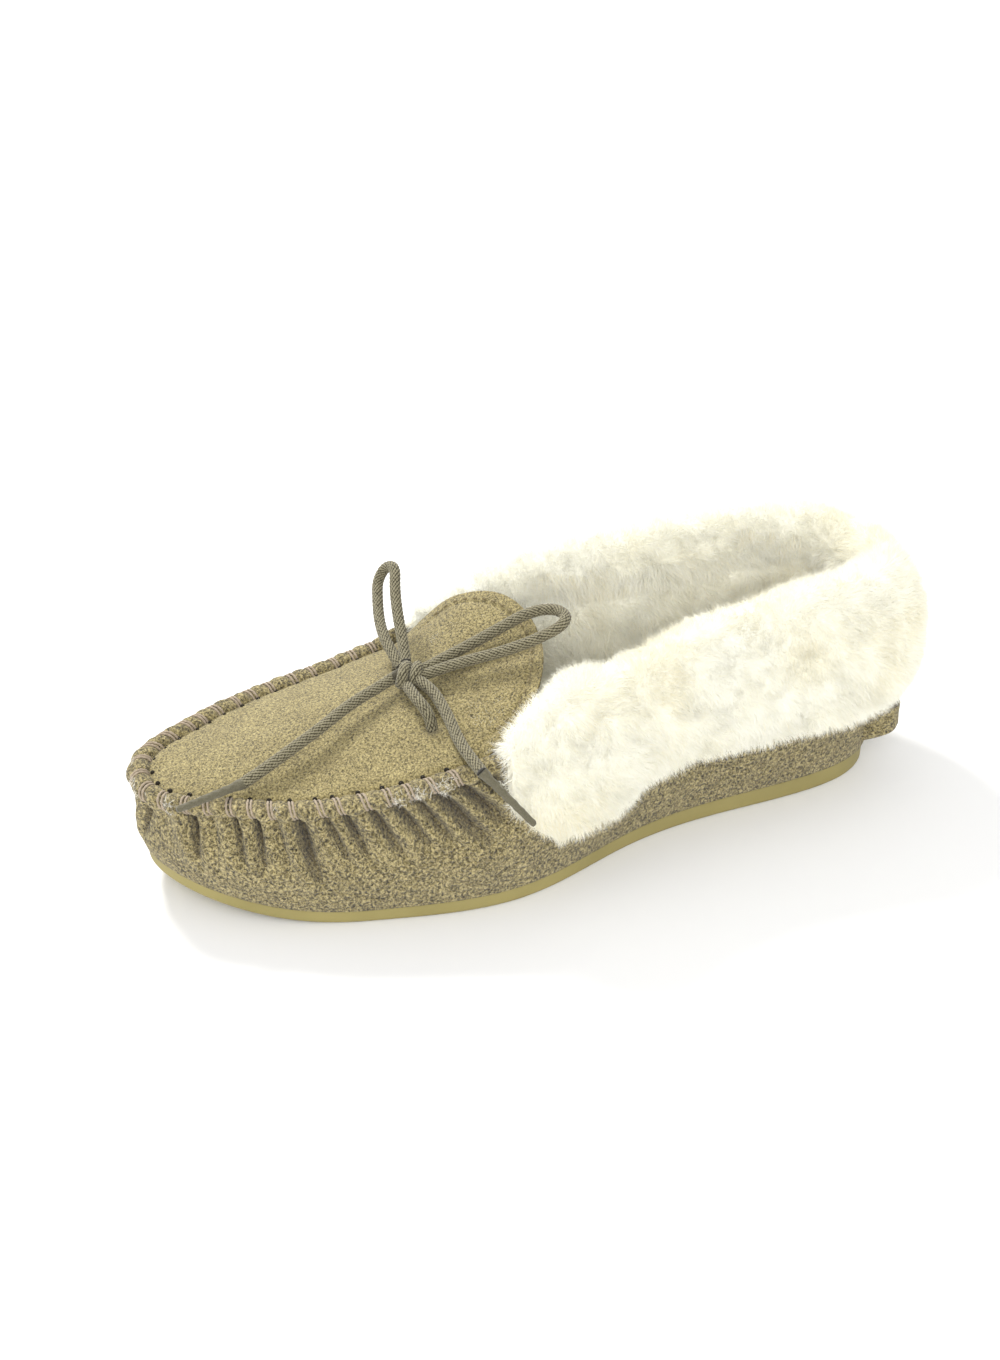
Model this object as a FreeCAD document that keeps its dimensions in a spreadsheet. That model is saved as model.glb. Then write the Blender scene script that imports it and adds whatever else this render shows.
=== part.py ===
import FreeCAD, Part
import math
import os
import Sketcher
from FreeCAD import Vector

# A left moccasin slipper with a turned-out fleece collar, in millimetres.
# +Z is up, the toe points to -Y, the heel to +Y and the outer side of the foot to +X.
# The origin lies on the ground under the middle of the outsole.

UP = Vector(0, 0, 1)
GROUND = None

DIMENSIONS = {
    # sole unit
    "sole_front_thick": 5.0,
    "sole_heel_thick": 8.0,
    "spring_start": -70.0,
    "spring_radius": 179.0,
    "heel_end": 126.0,
    "profile_overrun": 20.0,
    "blank_width": 130.0,
    "sole_edge_round": 1.2,
    "board_thick": 1.5,
    "foam_thick": 4.0,
    "insock_thick": 6.0,
    "board_inset": 6.5,
    "insock_inset": 13.5,
    "layer_gap": 0.2,
    "board_lift": 2.9,
    # upper
    "suede": 1.6,
    "lasting_margin": 12.0,
    "lasting_turn": 0.8,
    "wall_bulge": 2.5,
    "ridge_inset": 4.0,
    "ridge_toe_overhang": 2.0,
    "ridge_stand": 1.5,
    "seam_end_out": -32.0,
    "seam_end_in": -40.0,
    "vamp_pile": 7.0,
    "collar_pile": 9.0,
    "apron_pile": 8.0,
    "lining_gap": 1.1,
    "collar_gap": 0.7,
    "apron_half": 39.0,
    "apron_tilt": 2.5,
    "hinge_line": -28.0,
    "hinge_gap": 0.3,
    "tongue_middle": 2.0,
    "tongue_half": 33.0,
    "tongue_length": 27.5,
    "tongue_rise_in": 10.0,
    "tongue_lining_inset": 6.0,
    # collar
    "collar_front": -27.0,
    "fold_front_out": 52.0,
    "fold_front_in": 55.0,
    "fold_back": 69.0,
    "fold_end_out": 100.0,
    "fold_end_in": 38.0,
    "collar_low_front": 38.0,
    "collar_low_side": 20.0,
    "collar_low_back": 31.0,
    "collar_out_front": 4.5,
    "collar_out_side": 13.0,
    "collar_out_back": 16.0,
    "collar_in_front": 5.0,
    "collar_in_side": 12.0,
    "collar_over_front": 8.0,
    "collar_over_side": 16.0,
    # heel tab
    "tab_share": 0.035,
    "tab_width": 10.0,
    "tab_reach": 9.5,
    "tab_low": 11.0,
    "tab_tall": 16.0,
    # lace and thread
    "lace_radius": 1.8,
    "lace_hole_radius": 2.4,
    "lace_hole_out": 18.0,
    "lace_hole_in": -16.0,
    "lace_hole_line": -40.0,
    "knot_long": 6.5,
    "knot_wide": 5.0,
    "knot_tall": 4.0,
    "aglet_radius": 1.6,
    "aglet_tip_radius": 0.8,
    "thread_radius": 0.9,
    "topstitch_radius": 0.35,
}

# Control points of the sole's outline, from the heel along the outer side and back.
OUTLINE_WORDS = ["heel_in", "heel_back", "heel_out", "heel_side_out", "waist_out",
                 "ball_out", "fore_out", "toe_out", "toe_tip", "toe_in",
                 "ball_in", "fore_waist_in", "waist_in", "heel_side_in"]
OUTLINE_POINTS = [(-40, 118), (-3, 133), (24, 114), (23, 56), (29, 20),
                  (49, -20), (40, -62), (31, -99), (-5, -138), (-41, -108),
                  (-45, -61), (-44, -24), (-34, 22), (-34, 52)]

# Height of the apron and tongue along their middle: distance along the shoe, height.
CREST = [(-132, 36.5), (-115, 39.5), (-90, 44), (-60, 50), (-38, 56),
         (-28, 59), (-15, 64.5), (8, 75)]

doc = FreeCAD.newDocument("moccasin")
sheet = doc.addObject("Spreadsheet::Sheet", "dims")


def fill_sheet():
    """Put every driving dimension in the sheet under its own word."""
    entries = dict(DIMENSIONS)
    for word, (x, y) in zip(OUTLINE_WORDS, OUTLINE_POINTS):
        entries[word + "_x"] = x
        entries[word + "_y"] = y
    for row, (word, value) in enumerate(entries.items(), start=1):
        sheet.set("A%d" % row, word)
        sheet.set("B%d" % row, str(value))
        sheet.setAlias("B%d" % row, word)
    doc.recompute()


def dim(word):
    """One driving dimension, read back from the sheet."""
    return float(getattr(sheet, word))


fill_sheet()


# ---------------------------------------------------------------- the sole's outline

def outline_poles():
    return [Vector(dim(word + "_x"), dim(word + "_y"), 0) for word in OUTLINE_WORDS]


class Outline:
    """The sole's edge, walked by distance from the heel along the outer side."""

    SAMPLES = 720

    def __init__(self):
        curve = Part.BSplineCurve()
        curve.buildFromPoles(outline_poles(), True, 3)
        points = curve.discretize(Number=self.SAMPLES + 1)[:-1]
        back = max(range(len(points)), key=lambda i: points[i].y)
        self.points = points[back:] + points[:back]
        self.points.append(self.points[0])
        self.walked = [0.0]
        for first, second in zip(self.points, self.points[1:]):
            self.walked.append(self.walked[-1] + first.distanceToPoint(second))

    def at(self, share):
        """Point and outward normal at a share (0 to 1) of the way round."""
        goal = (share % 1.0) * self.walked[-1]
        i = 1
        while self.walked[i] < goal:
            i += 1
        first, second = self.points[i - 1], self.points[i]
        part = (goal - self.walked[i - 1]) / (self.walked[i] - self.walked[i - 1])
        before = self.points[(i - 2) % self.SAMPLES]
        after = self.points[(i + 1) % self.SAMPLES]
        along = (after - before).normalize()
        return first + (second - first) * part, Vector(-along.y, along.x, 0) * self.turn()

    def turn(self):
        """+1 or -1, so that normals point out of the sole."""
        return 1.0 if self.points[10].x > self.points[0].x else -1.0

    def share_at(self, y, outer):
        """Share of the way round where the given side crosses a line across the shoe."""
        shares = [i / 1000.0 for i in range(1001)]
        half = [s for s in shares if (s < 0.5) == outer]
        return min(half, key=lambda s: abs(self.at(s)[0].y - y))


outline = Outline()


def blend(value, low, high):
    """0 below low, 1 above high and a smooth rise between."""
    share = min(max((value - low) / (high - low), 0.0), 1.0)
    return share * share * (3 - 2 * share)


def spring_lift(y):
    """How far the toe spring lifts the sole at a distance along the shoe."""
    beyond = max(dim("spring_start") - y, 0.0)
    radius = dim("spring_radius")
    return radius - math.sqrt(radius * radius - beyond * beyond)


def sole_top(y):
    """Height of the outsole's upper face."""
    run = dim("heel_end") + dim("profile_overrun") - dim("spring_start")
    share = max(y - dim("spring_start"), 0.0) / run
    wedge = (dim("sole_heel_thick") - dim("sole_front_thick")) * share
    return spring_lift(y) + dim("sole_front_thick") + wedge


def crest(y):
    """Height of the apron's middle line."""
    for (y0, z0), (y1, z1) in zip(CREST, CREST[1:]):
        if y <= y1:
            return z0 + (z1 - z0) * (y - y0) / (y1 - y0)
    return CREST[-1][1]


def apron_height(x, y):
    """Middle surface of the apron and tongue: crowned, and higher on the inner side."""
    middle = 1 + 0.09 * (y + 30)
    side = (x - middle) / dim("apron_half")
    smooth = (crest(y - 6) + crest(y - 3) + crest(y) + crest(y + 3) + crest(y + 6)) / 5
    crown = 7 + 0.07 * max(y + 40, 0)
    inner = blend(dim("tongue_middle") - x, -8, dim("tongue_half"))
    rise = dim("tongue_rise_in") * blend(y, -40, -15) * inner
    return smooth - crown * side * side - dim("apron_tilt") * side + rise


# ---------------------------------------------------------------- sole layers

def origin_plane(body, role):
    return [o for o in body.Origin.OriginFeatures if o.Role == role][0]


def place_point(sketch, geometry, end, name, x, y):
    """Fix a point of the sketch at two named distances bound to the sheet."""
    spot = sketch.getPoint(geometry, end)
    for axis, formula, now in (("X", x, spot.x), ("Y", y, spot.y)):
        index = sketch.addConstraint(
            Sketcher.Constraint("Distance" + axis, -1, 1, geometry, end, now))
        sketch.renameConstraint(index, name + axis.lower())
        sketch.setExpression("Constraints." + name + axis.lower(), formula)


def edge_heights(lift):
    """Heights at the ball and the heel of an edge lifted over the outsole, or on the ground."""
    if lift is GROUND:
        return 0.0, 0.0
    return dim("sole_front_thick") + lift, dim("sole_heel_thick") + lift


def edge_formulas(lift):
    if lift is GROUND:
        return "0", "0"
    return "dims.sole_front_thick + %s" % lift, "dims.sole_heel_thick + %s" % lift


def side_profile(body, name, low, high):
    """Side view of a layer: flat from heel to ball, then curving up with the toe spring."""
    sketch = body.newObject("Sketcher::SketchObject", name + "_side")
    sketch.AttachmentSupport = [(origin_plane(body, "YZ_Plane"), "")]
    sketch.MapMode = "FlatFace"
    ball, radius = dim("spring_start"), dim("spring_radius")
    heel = dim("heel_end") + dim("profile_overrun")
    centre = Vector(ball, radius, 0)
    straight = -math.pi / 2

    def corners(lift):
        front, rear = edge_heights(lift)
        reach = radius - front
        drop = math.sqrt(reach * reach - (-heel - ball) ** 2)
        return Vector(heel, rear, 0), Vector(ball, front, 0), Vector(-heel, radius - drop, 0), reach

    def arc(end, reach):
        start_angle = math.atan2(end.y - centre.y, end.x - centre.x)
        return Part.ArcOfCircle(Part.Circle(centre, UP, reach), start_angle, straight)

    heel_low, ball_low, toe_low, reach_low = corners(low)
    heel_high, ball_high, toe_high, reach_high = corners(high)
    sketch.addGeometry([Part.LineSegment(heel_low, ball_low), arc(toe_low, reach_low),
                        Part.LineSegment(toe_low, toe_high), arc(toe_high, reach_high),
                        Part.LineSegment(ball_high, heel_high),
                        Part.LineSegment(heel_high, heel_low)], False)
    joins = [(0, 2, 1, 2), (1, 1, 2, 1), (2, 2, 3, 1), (3, 2, 4, 1), (4, 2, 5, 1), (5, 2, 0, 1)]
    for join in joins:
        sketch.addConstraint(Sketcher.Constraint("Coincident", *join))
    sketch.addConstraint(Sketcher.Constraint("Vertical", 2))
    heel_word = "dims.heel_end + dims.profile_overrun"
    front_low, rear_low = edge_formulas(low)
    front_high, rear_high = edge_formulas(high)
    place_point(sketch, 0, 1, "heel_low", heel_word, rear_low)
    place_point(sketch, 0, 2, "ball_low", "dims.spring_start", front_low)
    place_point(sketch, 4, 1, "ball_high", "dims.spring_start", front_high)
    place_point(sketch, 4, 2, "heel_high", heel_word, rear_high)
    place_point(sketch, 1, 3, "spring_low", "dims.spring_start", "dims.spring_radius")
    place_point(sketch, 3, 3, "spring_high", "dims.spring_start", "dims.spring_radius")
    index = sketch.addConstraint(Sketcher.Constraint("DistanceX", -1, 1, 2, 1, -heel))
    sketch.renameConstraint(index, "toe_endx")
    sketch.setExpression("Constraints.toe_endx", "-(%s)" % heel_word)
    return sketch


def plan_outline(body, name, inset_word):
    """Plan view: the sole's outline drawn in by an inset, inside a blank that is cut away."""
    sketch = body.newObject("Sketcher::SketchObject", name + "_plan")
    sketch.AttachmentSupport = [(origin_plane(body, "XY_Plane"), "")]
    sketch.MapMode = "FlatFace"
    inset = dim(inset_word) if inset_word else 0.0
    poles = outline_poles()
    middle = Vector(sum(p.x for p in poles), sum(p.y for p in poles), 0) * (1.0 / len(poles))
    curve = Part.BSplineCurve()
    curve.buildFromPoles(poles, True, 3)
    loop = sketch.addGeometry(curve, False)
    sketch.exposeInternalGeometry(loop)
    handles = [i for i, g in enumerate(sketch.Geometry) if isinstance(g, Part.Circle)]
    previous = poles[-1:] + poles[:-1]
    following = poles[1:] + poles[:1]
    for handle, word, pole, a, b in zip(handles, OUTLINE_WORDS, poles, previous, following):
        along = (b - a).normalize()
        outward = Vector(-along.y, along.x, 0)
        if outward.dot(pole - middle) < 0:
            outward = -outward
        inward = -outward * inset
        place_point(sketch, handle, 3, word, "dims.%s_x + %.3f" % (word, inward.x),
                    "dims.%s_y + %.3f" % (word, inward.y))
    far = dim("heel_end") + 2 * dim("profile_overrun")
    wide = dim("blank_width")
    corners = [Vector(wide, far, 0), Vector(-wide, far, 0), Vector(-wide, -far, 0),
               Vector(wide, -far, 0)]
    sides = [sketch.addGeometry(Part.LineSegment(corners[i], corners[(i + 1) % 4]), False)
             for i in range(4)]
    for i in range(4):
        sketch.addConstraint(
            Sketcher.Constraint("Coincident", sides[i], 2, sides[(i + 1) % 4], 1))
    reach = "(dims.heel_end + 2 * dims.profile_overrun)"
    for i, corner in enumerate(corners):
        place_point(sketch, sides[i], 1, "corner%d" % i,
                    "%d * dims.blank_width" % (1 if corner.x > 0 else -1),
                    "%d * %s" % (1 if corner.y > 0 else -1, reach))
    return sketch


def sole_layer(name, low, high, inset_word, rounded=False):
    """A layer of the sole unit: its side view padded across, then trimmed to the outline."""
    body = doc.addObject("PartDesign::Body", name)
    body.Label = name
    side = side_profile(body, name, low, high)
    pad = body.newObject("PartDesign::Pad", name + "_pad")
    pad.Profile = side
    pad.Midplane = True
    pad.setExpression("Length", "dims.blank_width")
    doc.recompute()
    before = pad.Shape.Volume
    trim = body.newObject("PartDesign::Pocket", name + "_trim")
    trim.Profile = plan_outline(body, name, inset_word)
    trim.Type = 1
    trim.Midplane = True
    doc.recompute()
    if not 0.2 * before < trim.Shape.Volume < 0.8 * before:
        raise RuntimeError(name + " was not trimmed to its outline")
    if rounded:
        edges = ["Edge%d" % (i + 1) for i, edge in enumerate(trim.Shape.Edges)
                 if runs_under_sole(edge)]
        soften = body.newObject("PartDesign::Fillet", name + "_round")
        soften.Base = (trim, edges)
        soften.setExpression("Radius", "dims.sole_edge_round")
        doc.recompute()
    return body


def runs_under_sole(edge):
    """True for an edge of the outsole's lower rim, but not for a line across the sole."""
    along = edge.discretize(Number=7)
    on_ground = all(abs(p.z - spring_lift(p.y)) < 0.05 for p in along)
    across = max(p.y for p in along) - min(p.y for p in along) < 0.01
    return on_ground and not across


# ---------------------------------------------------------------- skins of leather and fleece

def clamped_knots(count):
    """Knots and multiplicities of a cubic spline that starts and ends on its end points."""
    spans = count - 3
    return [float(i) for i in range(spans + 1)], [4] + [1] * (spans - 1) + [4]


def surface_face(rows):
    """A smooth surface drawn by a grid of control points."""
    across_knots, across_repeats = clamped_knots(len(rows))
    along_knots, along_repeats = clamped_knots(len(rows[0]))
    surface = Part.BSplineSurface()
    surface.buildFromPolesMultsKnots(rows, across_repeats, along_repeats, across_knots,
                                     along_knots, False, False, 3, 3)
    return surface


def rim_face(over, under):
    """The straight-across strip that joins the same rim of two surfaces."""
    knots, repeats = clamped_knots(len(over))
    strip = Part.BSplineSurface()
    strip.buildFromPolesMultsKnots([over, under], [2, 2], repeats, [0.0, 1.0], knots,
                                   False, False, 1, 3)
    return strip


def thick_sheet(outer_rows, inner_rows):
    """A closed solid between two grids of points that have the same number of rows."""
    faces = [surface_face(outer_rows), surface_face(inner_rows),
             rim_face(outer_rows[0], inner_rows[0]), rim_face(outer_rows[-1], inner_rows[-1]),
             rim_face([row[0] for row in outer_rows], [row[0] for row in inner_rows]),
             rim_face([row[-1] for row in outer_rows], [row[-1] for row in inner_rows])]
    skin = Part.Compound([face.toShape() for face in faces])
    skin.sewShape()
    solid = Part.Solid(skin.Shells[0])
    if solid.Volume < 0:
        solid.reverse()
    return solid


def feature(name, shape):
    piece = doc.addObject("Part::Feature", name)
    piece.Label = name
    piece.Shape = shape
    piece.Placement = FreeCAD.Placement()
    return piece


def fold_height(y, outer):
    """Height of the collar's fold above the ground along the topline."""
    front = dim("fold_front_out") if outer else dim("fold_front_in")
    end = dim("fold_end_out") if outer else dim("fold_end_in")
    return front + (dim("fold_back") - front) * blend(y, -30, end)


def ridge_offset(y):
    """Outward offset of the ridge from the sole's edge; it overhangs at the toe."""
    toe = math.exp(-((y + 127) / 12.0) ** 2)
    return -dim("ridge_inset") + (dim("ridge_inset") + dim("ridge_toe_overhang")) * toe


def wall_top(share):
    """Outward offset and height of the suede wall's top edge."""
    point, normal = outline.at(share)
    outer = share < 0.5
    seam_end = dim("seam_end_out") if outer else dim("seam_end_in")
    offset = ridge_offset(point.y)
    ridge = point + normal * offset
    on_ridge = apron_height(ridge.x, ridge.y) + dim("ridge_stand")
    back = blend(point.y, seam_end, seam_end + 14)
    height = on_ridge + (fold_height(point.y, outer) - on_ridge) * back
    return offset * (1 - back), height


def wall_offset(share, height):
    """Outward offset of the suede wall's outer face at a height."""
    point, normal = outline.at(share)
    foot = sole_top(point.y)
    top_offset, top = wall_top(share)
    rise = min(max((height - foot) / (top - foot), 0.0), 1.0)
    belly = dim("wall_bulge") * math.sin(math.pi * min(rise * 1.15 + 0.12, 1.0))
    return top_offset * blend(rise, 0.35, 1.0) + belly


def raised(share, offset, height):
    point, normal = outline.at(share)
    spot = point + normal * offset
    return Vector(spot.x, spot.y, height)


def on_sole(share, offset, lift):
    """A spot drawn in or out from the sole's edge, at a height above the outsole there."""
    point, normal = outline.at(share)
    spot = point + normal * offset
    return Vector(spot.x, spot.y, sole_top(spot.y) + lift)


def stations(first, last, count):
    return [first + (last - first) * i / (count - 1) for i in range(count)]


WALL_RISES = (0.16, 0.32, 0.5, 0.68, 0.85, 1.0)

# The two ends of the wrap, as shares of the way round, meet at the heel seam.
WRAP_ENDS = (0.0012, 0.9988)
WRAP_SECTIONS = 72


def vamp_shape():
    """The wrap: one strip of suede round the whole foot, turned in under the board."""
    outer_rows, inner_rows = [], []
    thick, margin, gap = dim("suede"), dim("lasting_margin"), dim("layer_gap")
    turn = dim("lasting_turn")
    for share in stations(*WRAP_ENDS, WRAP_SECTIONS):
        foot = sole_top(outline.at(share)[0].y) + gap
        top = wall_top(share)[1]
        outer = [on_sole(share, -margin, gap), on_sole(share, -margin / 2, gap),
                 on_sole(share, -turn, gap + turn / 2)]
        inner = [on_sole(share, -margin, gap + thick), on_sole(share, -margin / 2, gap + thick),
                 on_sole(share, -turn - thick, gap + thick + turn / 2)]
        for rise in WALL_RISES:
            height = foot + rise * (top - foot)
            offset = wall_offset(share, height)
            outer.append(raised(share, offset, height))
            inner.append(raised(share, offset - thick, height))
        outer_rows.append(outer)
        inner_rows.append(inner)
    return thick_sheet(outer_rows, inner_rows)


def lining_foot():
    """Height of the linings' lower rim above the outsole: just over the foam."""
    layers = dim("board_thick") + dim("layer_gap") + dim("foam_thick")
    return dim("board_lift") + layers + dim("layer_gap")


def wall_lining(first, last, count, pile, top_drop):
    """Fleece against the inside of the wrap, from the foam's rim to below the wall's top."""
    outer_rows, inner_rows = [], []
    behind = dim("suede") + dim("lining_gap")
    low = lining_foot()
    for share in stations(first, last, count):
        foot = sole_top(outline.at(share)[0].y) + low
        top = wall_top(share)[1] - top_drop
        outer, inner = [], []
        for rise in (0.0, 0.25, 0.5, 0.75, 1.0):
            height = foot + rise * (top - foot)
            offset = wall_offset(share, height) - behind
            outer.append(raised(share, offset, height))
            inner.append(raised(share, offset - pile, height))
        outer_rows.append(outer)
        inner_rows.append(inner)
    return thick_sheet(outer_rows, inner_rows)


def height_sheet(over, under, y_low, y_high):
    """A crowned sheet above and below the apron's middle surface."""
    def rows(lift):
        grid = []
        for i in range(25):
            x = -48 + 96 * i / 24.0
            ys = [y_low + (y_high - y_low) * j / 20.0 for j in range(21)]
            grid.append([Vector(x, y, apron_height(x, y) + lift) for y in ys])
        return grid
    return thick_sheet(rows(over), rows(under))


def prism(points, low, high):
    """A straight-sided block on a closed outline that is curved except for its first run."""
    curve = Part.BSplineCurve()
    curve.interpolate(points)
    flat = Part.LineSegment(points[-1], points[0])
    face = Part.Face(Part.Wire([curve.toShape(), flat.toShape()]))
    face.translate(Vector(0, 0, low))
    return face.extrude(Vector(0, 0, high - low))


def ridge_plan(inset, line):
    """The ridge drawn in by an inset, from the outer side round the toe to the inner side."""
    first = outline.share_at(line, True)
    last = outline.share_at(line, False)
    points = []
    for share in stations(first, last, 41):
        point, normal = outline.at(share)
        spot = point + normal * (ridge_offset(point.y) - inset)
        points.append(Vector(spot.x, spot.y, 0))
    points[0].y = line
    points[-1].y = line
    return points


def lobe_plan(inset, line):
    """The tongue's plan: half an ellipse behind the hinge line."""
    half, length = dim("tongue_half") - inset, dim("tongue_length") - inset
    points = []
    for i in range(25):
        angle = math.pi * i / 24
        points.append(Vector(dim("tongue_middle") + half * math.cos(angle),
                             line + length * math.sin(angle), 0))
    return points


def cut_by_common(name, plan_points, over, under, y_low, y_high):
    """A piece of the crowned sheet cut out along a plan."""
    blank = feature(name + "_blank", height_sheet(over, under, y_low, y_high))
    cutter = feature(name + "_plan", prism(plan_points, 5, 100))
    piece = doc.addObject("Part::Common", name)
    piece.Base = blank
    piece.Tool = cutter
    return piece


# ---------------------------------------------------------------- the collar

def between(first, second, share):
    """A value a share of the way from one driving dimension to another."""
    return dim(first) + (dim(second) - dim(first)) * share


def collar_profile(share):
    """Offsets and heights of the collar's fleece, from its lower edge over the fold."""
    point = outline.at(share)[0]
    outer = share < 0.5
    y = point.y
    fold = fold_height(y, outer)
    grown = blend(y, dim("collar_front") - 4, 4)
    low_front, low_side = dim("collar_low_front"), dim("collar_low_side")
    low = low_front + (low_side - low_front) * blend(y, -30, -12)
    low += (dim("collar_low_back") - low_side) * blend(y, -14, 36)
    out = between("collar_out_front", "collar_out_side", grown)
    out += (dim("collar_out_back") - dim("collar_out_side")) * blend(y, 70, 120)
    inside = between("collar_in_front", "collar_in_side", blend(y, -30, 0))
    over = between("collar_over_front", "collar_over_side", grown)
    levels = [low + (fold - low) * rise for rise in (0.0, 0.16, 0.5, 0.9)]
    skirt = [(out * 0.72, levels[0]), (out, levels[1]), (out + 1.5, levels[2]),
             (out, levels[3]), (out * 0.55, fold + over * 0.66), (-1.5, fold + over),
             (-inside * 0.72, fold + over * 0.6), (-inside, fold - 4)]
    skin = []
    for height in levels:
        skin.append((wall_offset(share, height) + dim("collar_gap"), height))
    rim = wall_offset(share, fold)
    skin += [(rim + 0.6, fold + 1.6), (rim - 0.8, fold + 2.2), (rim - 2.2, fold + 1.6),
             (rim - dim("suede") - dim("collar_gap"), fold - 4)]
    return skirt, skin


def collar_shape():
    """Sheepskin folded over the topline, wool outwards, from one seam end to the other."""
    first = outline.share_at(dim("collar_front"), True)
    last = outline.share_at(dim("collar_front"), False)
    outer_rows, inner_rows = [], []
    for i in range(49):
        share = (first - (first + 1 - last) * i / 48.0) % 1.0
        skirt, skin = collar_profile(share)
        outer_rows.append([raised(share, n, z) for n, z in skirt])
        inner_rows.append([raised(share, n, z) for n, z in skin])
    return thick_sheet(outer_rows, inner_rows)


def quarter_lining_shape():
    """Fleece inside the heel part, from the foam's rim up to the collar."""
    first = outline.share_at(dim("collar_front"), True)
    last = outline.share_at(dim("collar_front"), False)
    outer_rows, inner_rows = [], []
    behind = dim("suede") + dim("lining_gap")
    low = lining_foot()
    for i in range(49):
        share = (first - (first + 1 - last) * i / 48.0) % 1.0
        y = outline.at(share)[0].y
        foot = sole_top(y) + low
        top = fold_height(y, share < 0.5) - 5.5
        pile = dim("collar_pile") * (0.6 + 0.4 * blend(y, -30, 0))
        outer, inner = [], []
        for rise in (0.0, 0.25, 0.5, 0.75, 1.0):
            height = foot + rise * (top - foot)
            offset = wall_offset(share, height) - behind
            outer.append(raised(share, offset, height))
            inner.append(raised(share, offset - pile, height))
        outer_rows.append(outer)
        inner_rows.append(inner)
    return thick_sheet(outer_rows, inner_rows)


# ---------------------------------------------------------------- thread and lace

def rod(first, second, radius):
    return Part.makeCylinder(radius, first.distanceToPoint(second), first, second - first)


def tube(name, points, radius):
    """A round tube along straight runs joined by tangent arcs as large as the runs allow."""
    edges, radii, start = [], [], points[0]
    for before, corner, after in zip(points, points[1:], points[2:]):
        back = (before - corner).normalize()
        ahead = (after - corner).normalize()
        turn = math.pi - back.getAngle(ahead)
        shorter = min(before.distanceToPoint(corner), after.distanceToPoint(corner))
        reach = 0.45 * shorter
        bend = reach / math.tan(turn / 2)
        enter, leave = corner + back * reach, corner + ahead * reach
        centre = corner + (back + ahead).normalize() * (bend / math.cos(turn / 2))
        middle = centre + (corner - centre).normalize() * bend
        edges.append(Part.LineSegment(start, enter).toShape())
        edges.append(Part.Arc(enter, middle, leave).toShape())
        radii.append(bend)
        start = leave
    edges.append(Part.LineSegment(start, points[-1]).toShape())
    path = Part.Wire(edges)
    ring = Part.Wire([Part.Circle(points[0], points[1] - points[0], radius).toShape()])
    solid = path.makePipeShell([ring], True, True)
    expected = math.pi * radius * radius * path.Length
    print("%s: length %.1f, radii %s, volume %.3f of expected" % (
        name, path.Length, ", ".join("%.1f" % bend for bend in radii), solid.Volume / expected))
    return solid


def lace_points(route):
    return [Vector(x, y, z) for x, y, z in route]


LACE_FRONT = [(-4.5, -44, 60), (-2.6, -50.2, 58.3), (-0.6, -57.5, 56.7), (2.3, -65, 54.8),
              (6.2, -72.6, 52.7), (9.5, -83, 49.3), (12.4, -93.7, 45.3), (13.3, -99.4, 43.2)]
LACE_SIDE = [(3, -39.5, 61.5), (8, -37, 60.8), (15, -36.2, 59.1), (22.7, -35.9, 57),
             (30.2, -36.1, 54.8), (38.5, -35.8, 53.8), (46.5, -34.4, 52.3)]
LACE_LOOP_FAR = [(-6, -42, 62), (-12, -43, 64), (-20, -43.2, 66), (-28.6, -42, 68),
                 (-36, -40, 72), (-41.2, -38.2, 75), (-41.3, -35.4, 79.7),
                 (-36.3, -33.4, 82), (-29.5, -36, 77.5), (-21.5, -37.8, 72.2),
                 (-13, -39, 67.2), (-6, -40.4, 63.5)]
LACE_LOOP_NEAR = [(-2, -29.5, 64.5), (-1, -20, 68.5), (0, -10.5, 73), (1.5, -2, 77.5),
                  (5, 5, 79.5), (11, 7.5, 79.5), (15.5, 4, 78.5), (14.5, -4, 75),
                  (10.5, -13, 70.5), (6, -22, 67), (3, -29, 64.5)]
LACE_BRIDGE = [(3, -43, 60), (10, -43, 60), (16.5, -41, 58), (18.6, -40, 52),
               (13.5, -40, 47.5), (5.5, -40, 50.2), (-4, -40, 50.4), (-12, -40, 48.5),
               (-17.5, -40, 52.5), (-16, -40, 58.5), (-11, -40.5, 61.3), (-6, -41, 61.5)]
KNOT_PLACE = (-1.5, -41, 61)
AGLET_FRONT = ((13.3, -99.4, 43.2), (20.9, -121.3, 43.6))
AGLET_SIDE = ((46.5, -34.4, 52.3), (58.7, -22.2, 38))


def cone_between(name, first, second):
    """A tapered lace end between two places."""
    start, end = Vector(*first), Vector(*second)
    piece = doc.addObject("Part::Cone", name)
    piece.Label = name
    piece.setExpression("Radius1", "dims.aglet_radius")
    piece.setExpression("Radius2", "dims.aglet_tip_radius")
    piece.Height = start.distanceToPoint(end)
    piece.Placement = FreeCAD.Placement(start, FreeCAD.Rotation(UP, end - start))
    return piece


def knot():
    piece = doc.addObject("Part::Ellipsoid", "lace_knot")
    piece.Label = "lace_knot"
    piece.setExpression("Radius1", "dims.knot_tall")
    piece.setExpression("Radius2", "dims.knot_long")
    piece.setExpression("Radius3", "dims.knot_wide")
    piece.Placement = FreeCAD.Placement(Vector(*KNOT_PLACE), FreeCAD.Rotation())
    return piece


WHIP_STITCHES = 31
# Each loop starts in the apron, passes over the ridge and ends outside the wall.
WHIP_APRON_INSET = 5.0
WHIP_OVER = (-1.0, 1.5)
WHIP_OUTSIDE = (2.2, -2.5)


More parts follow.
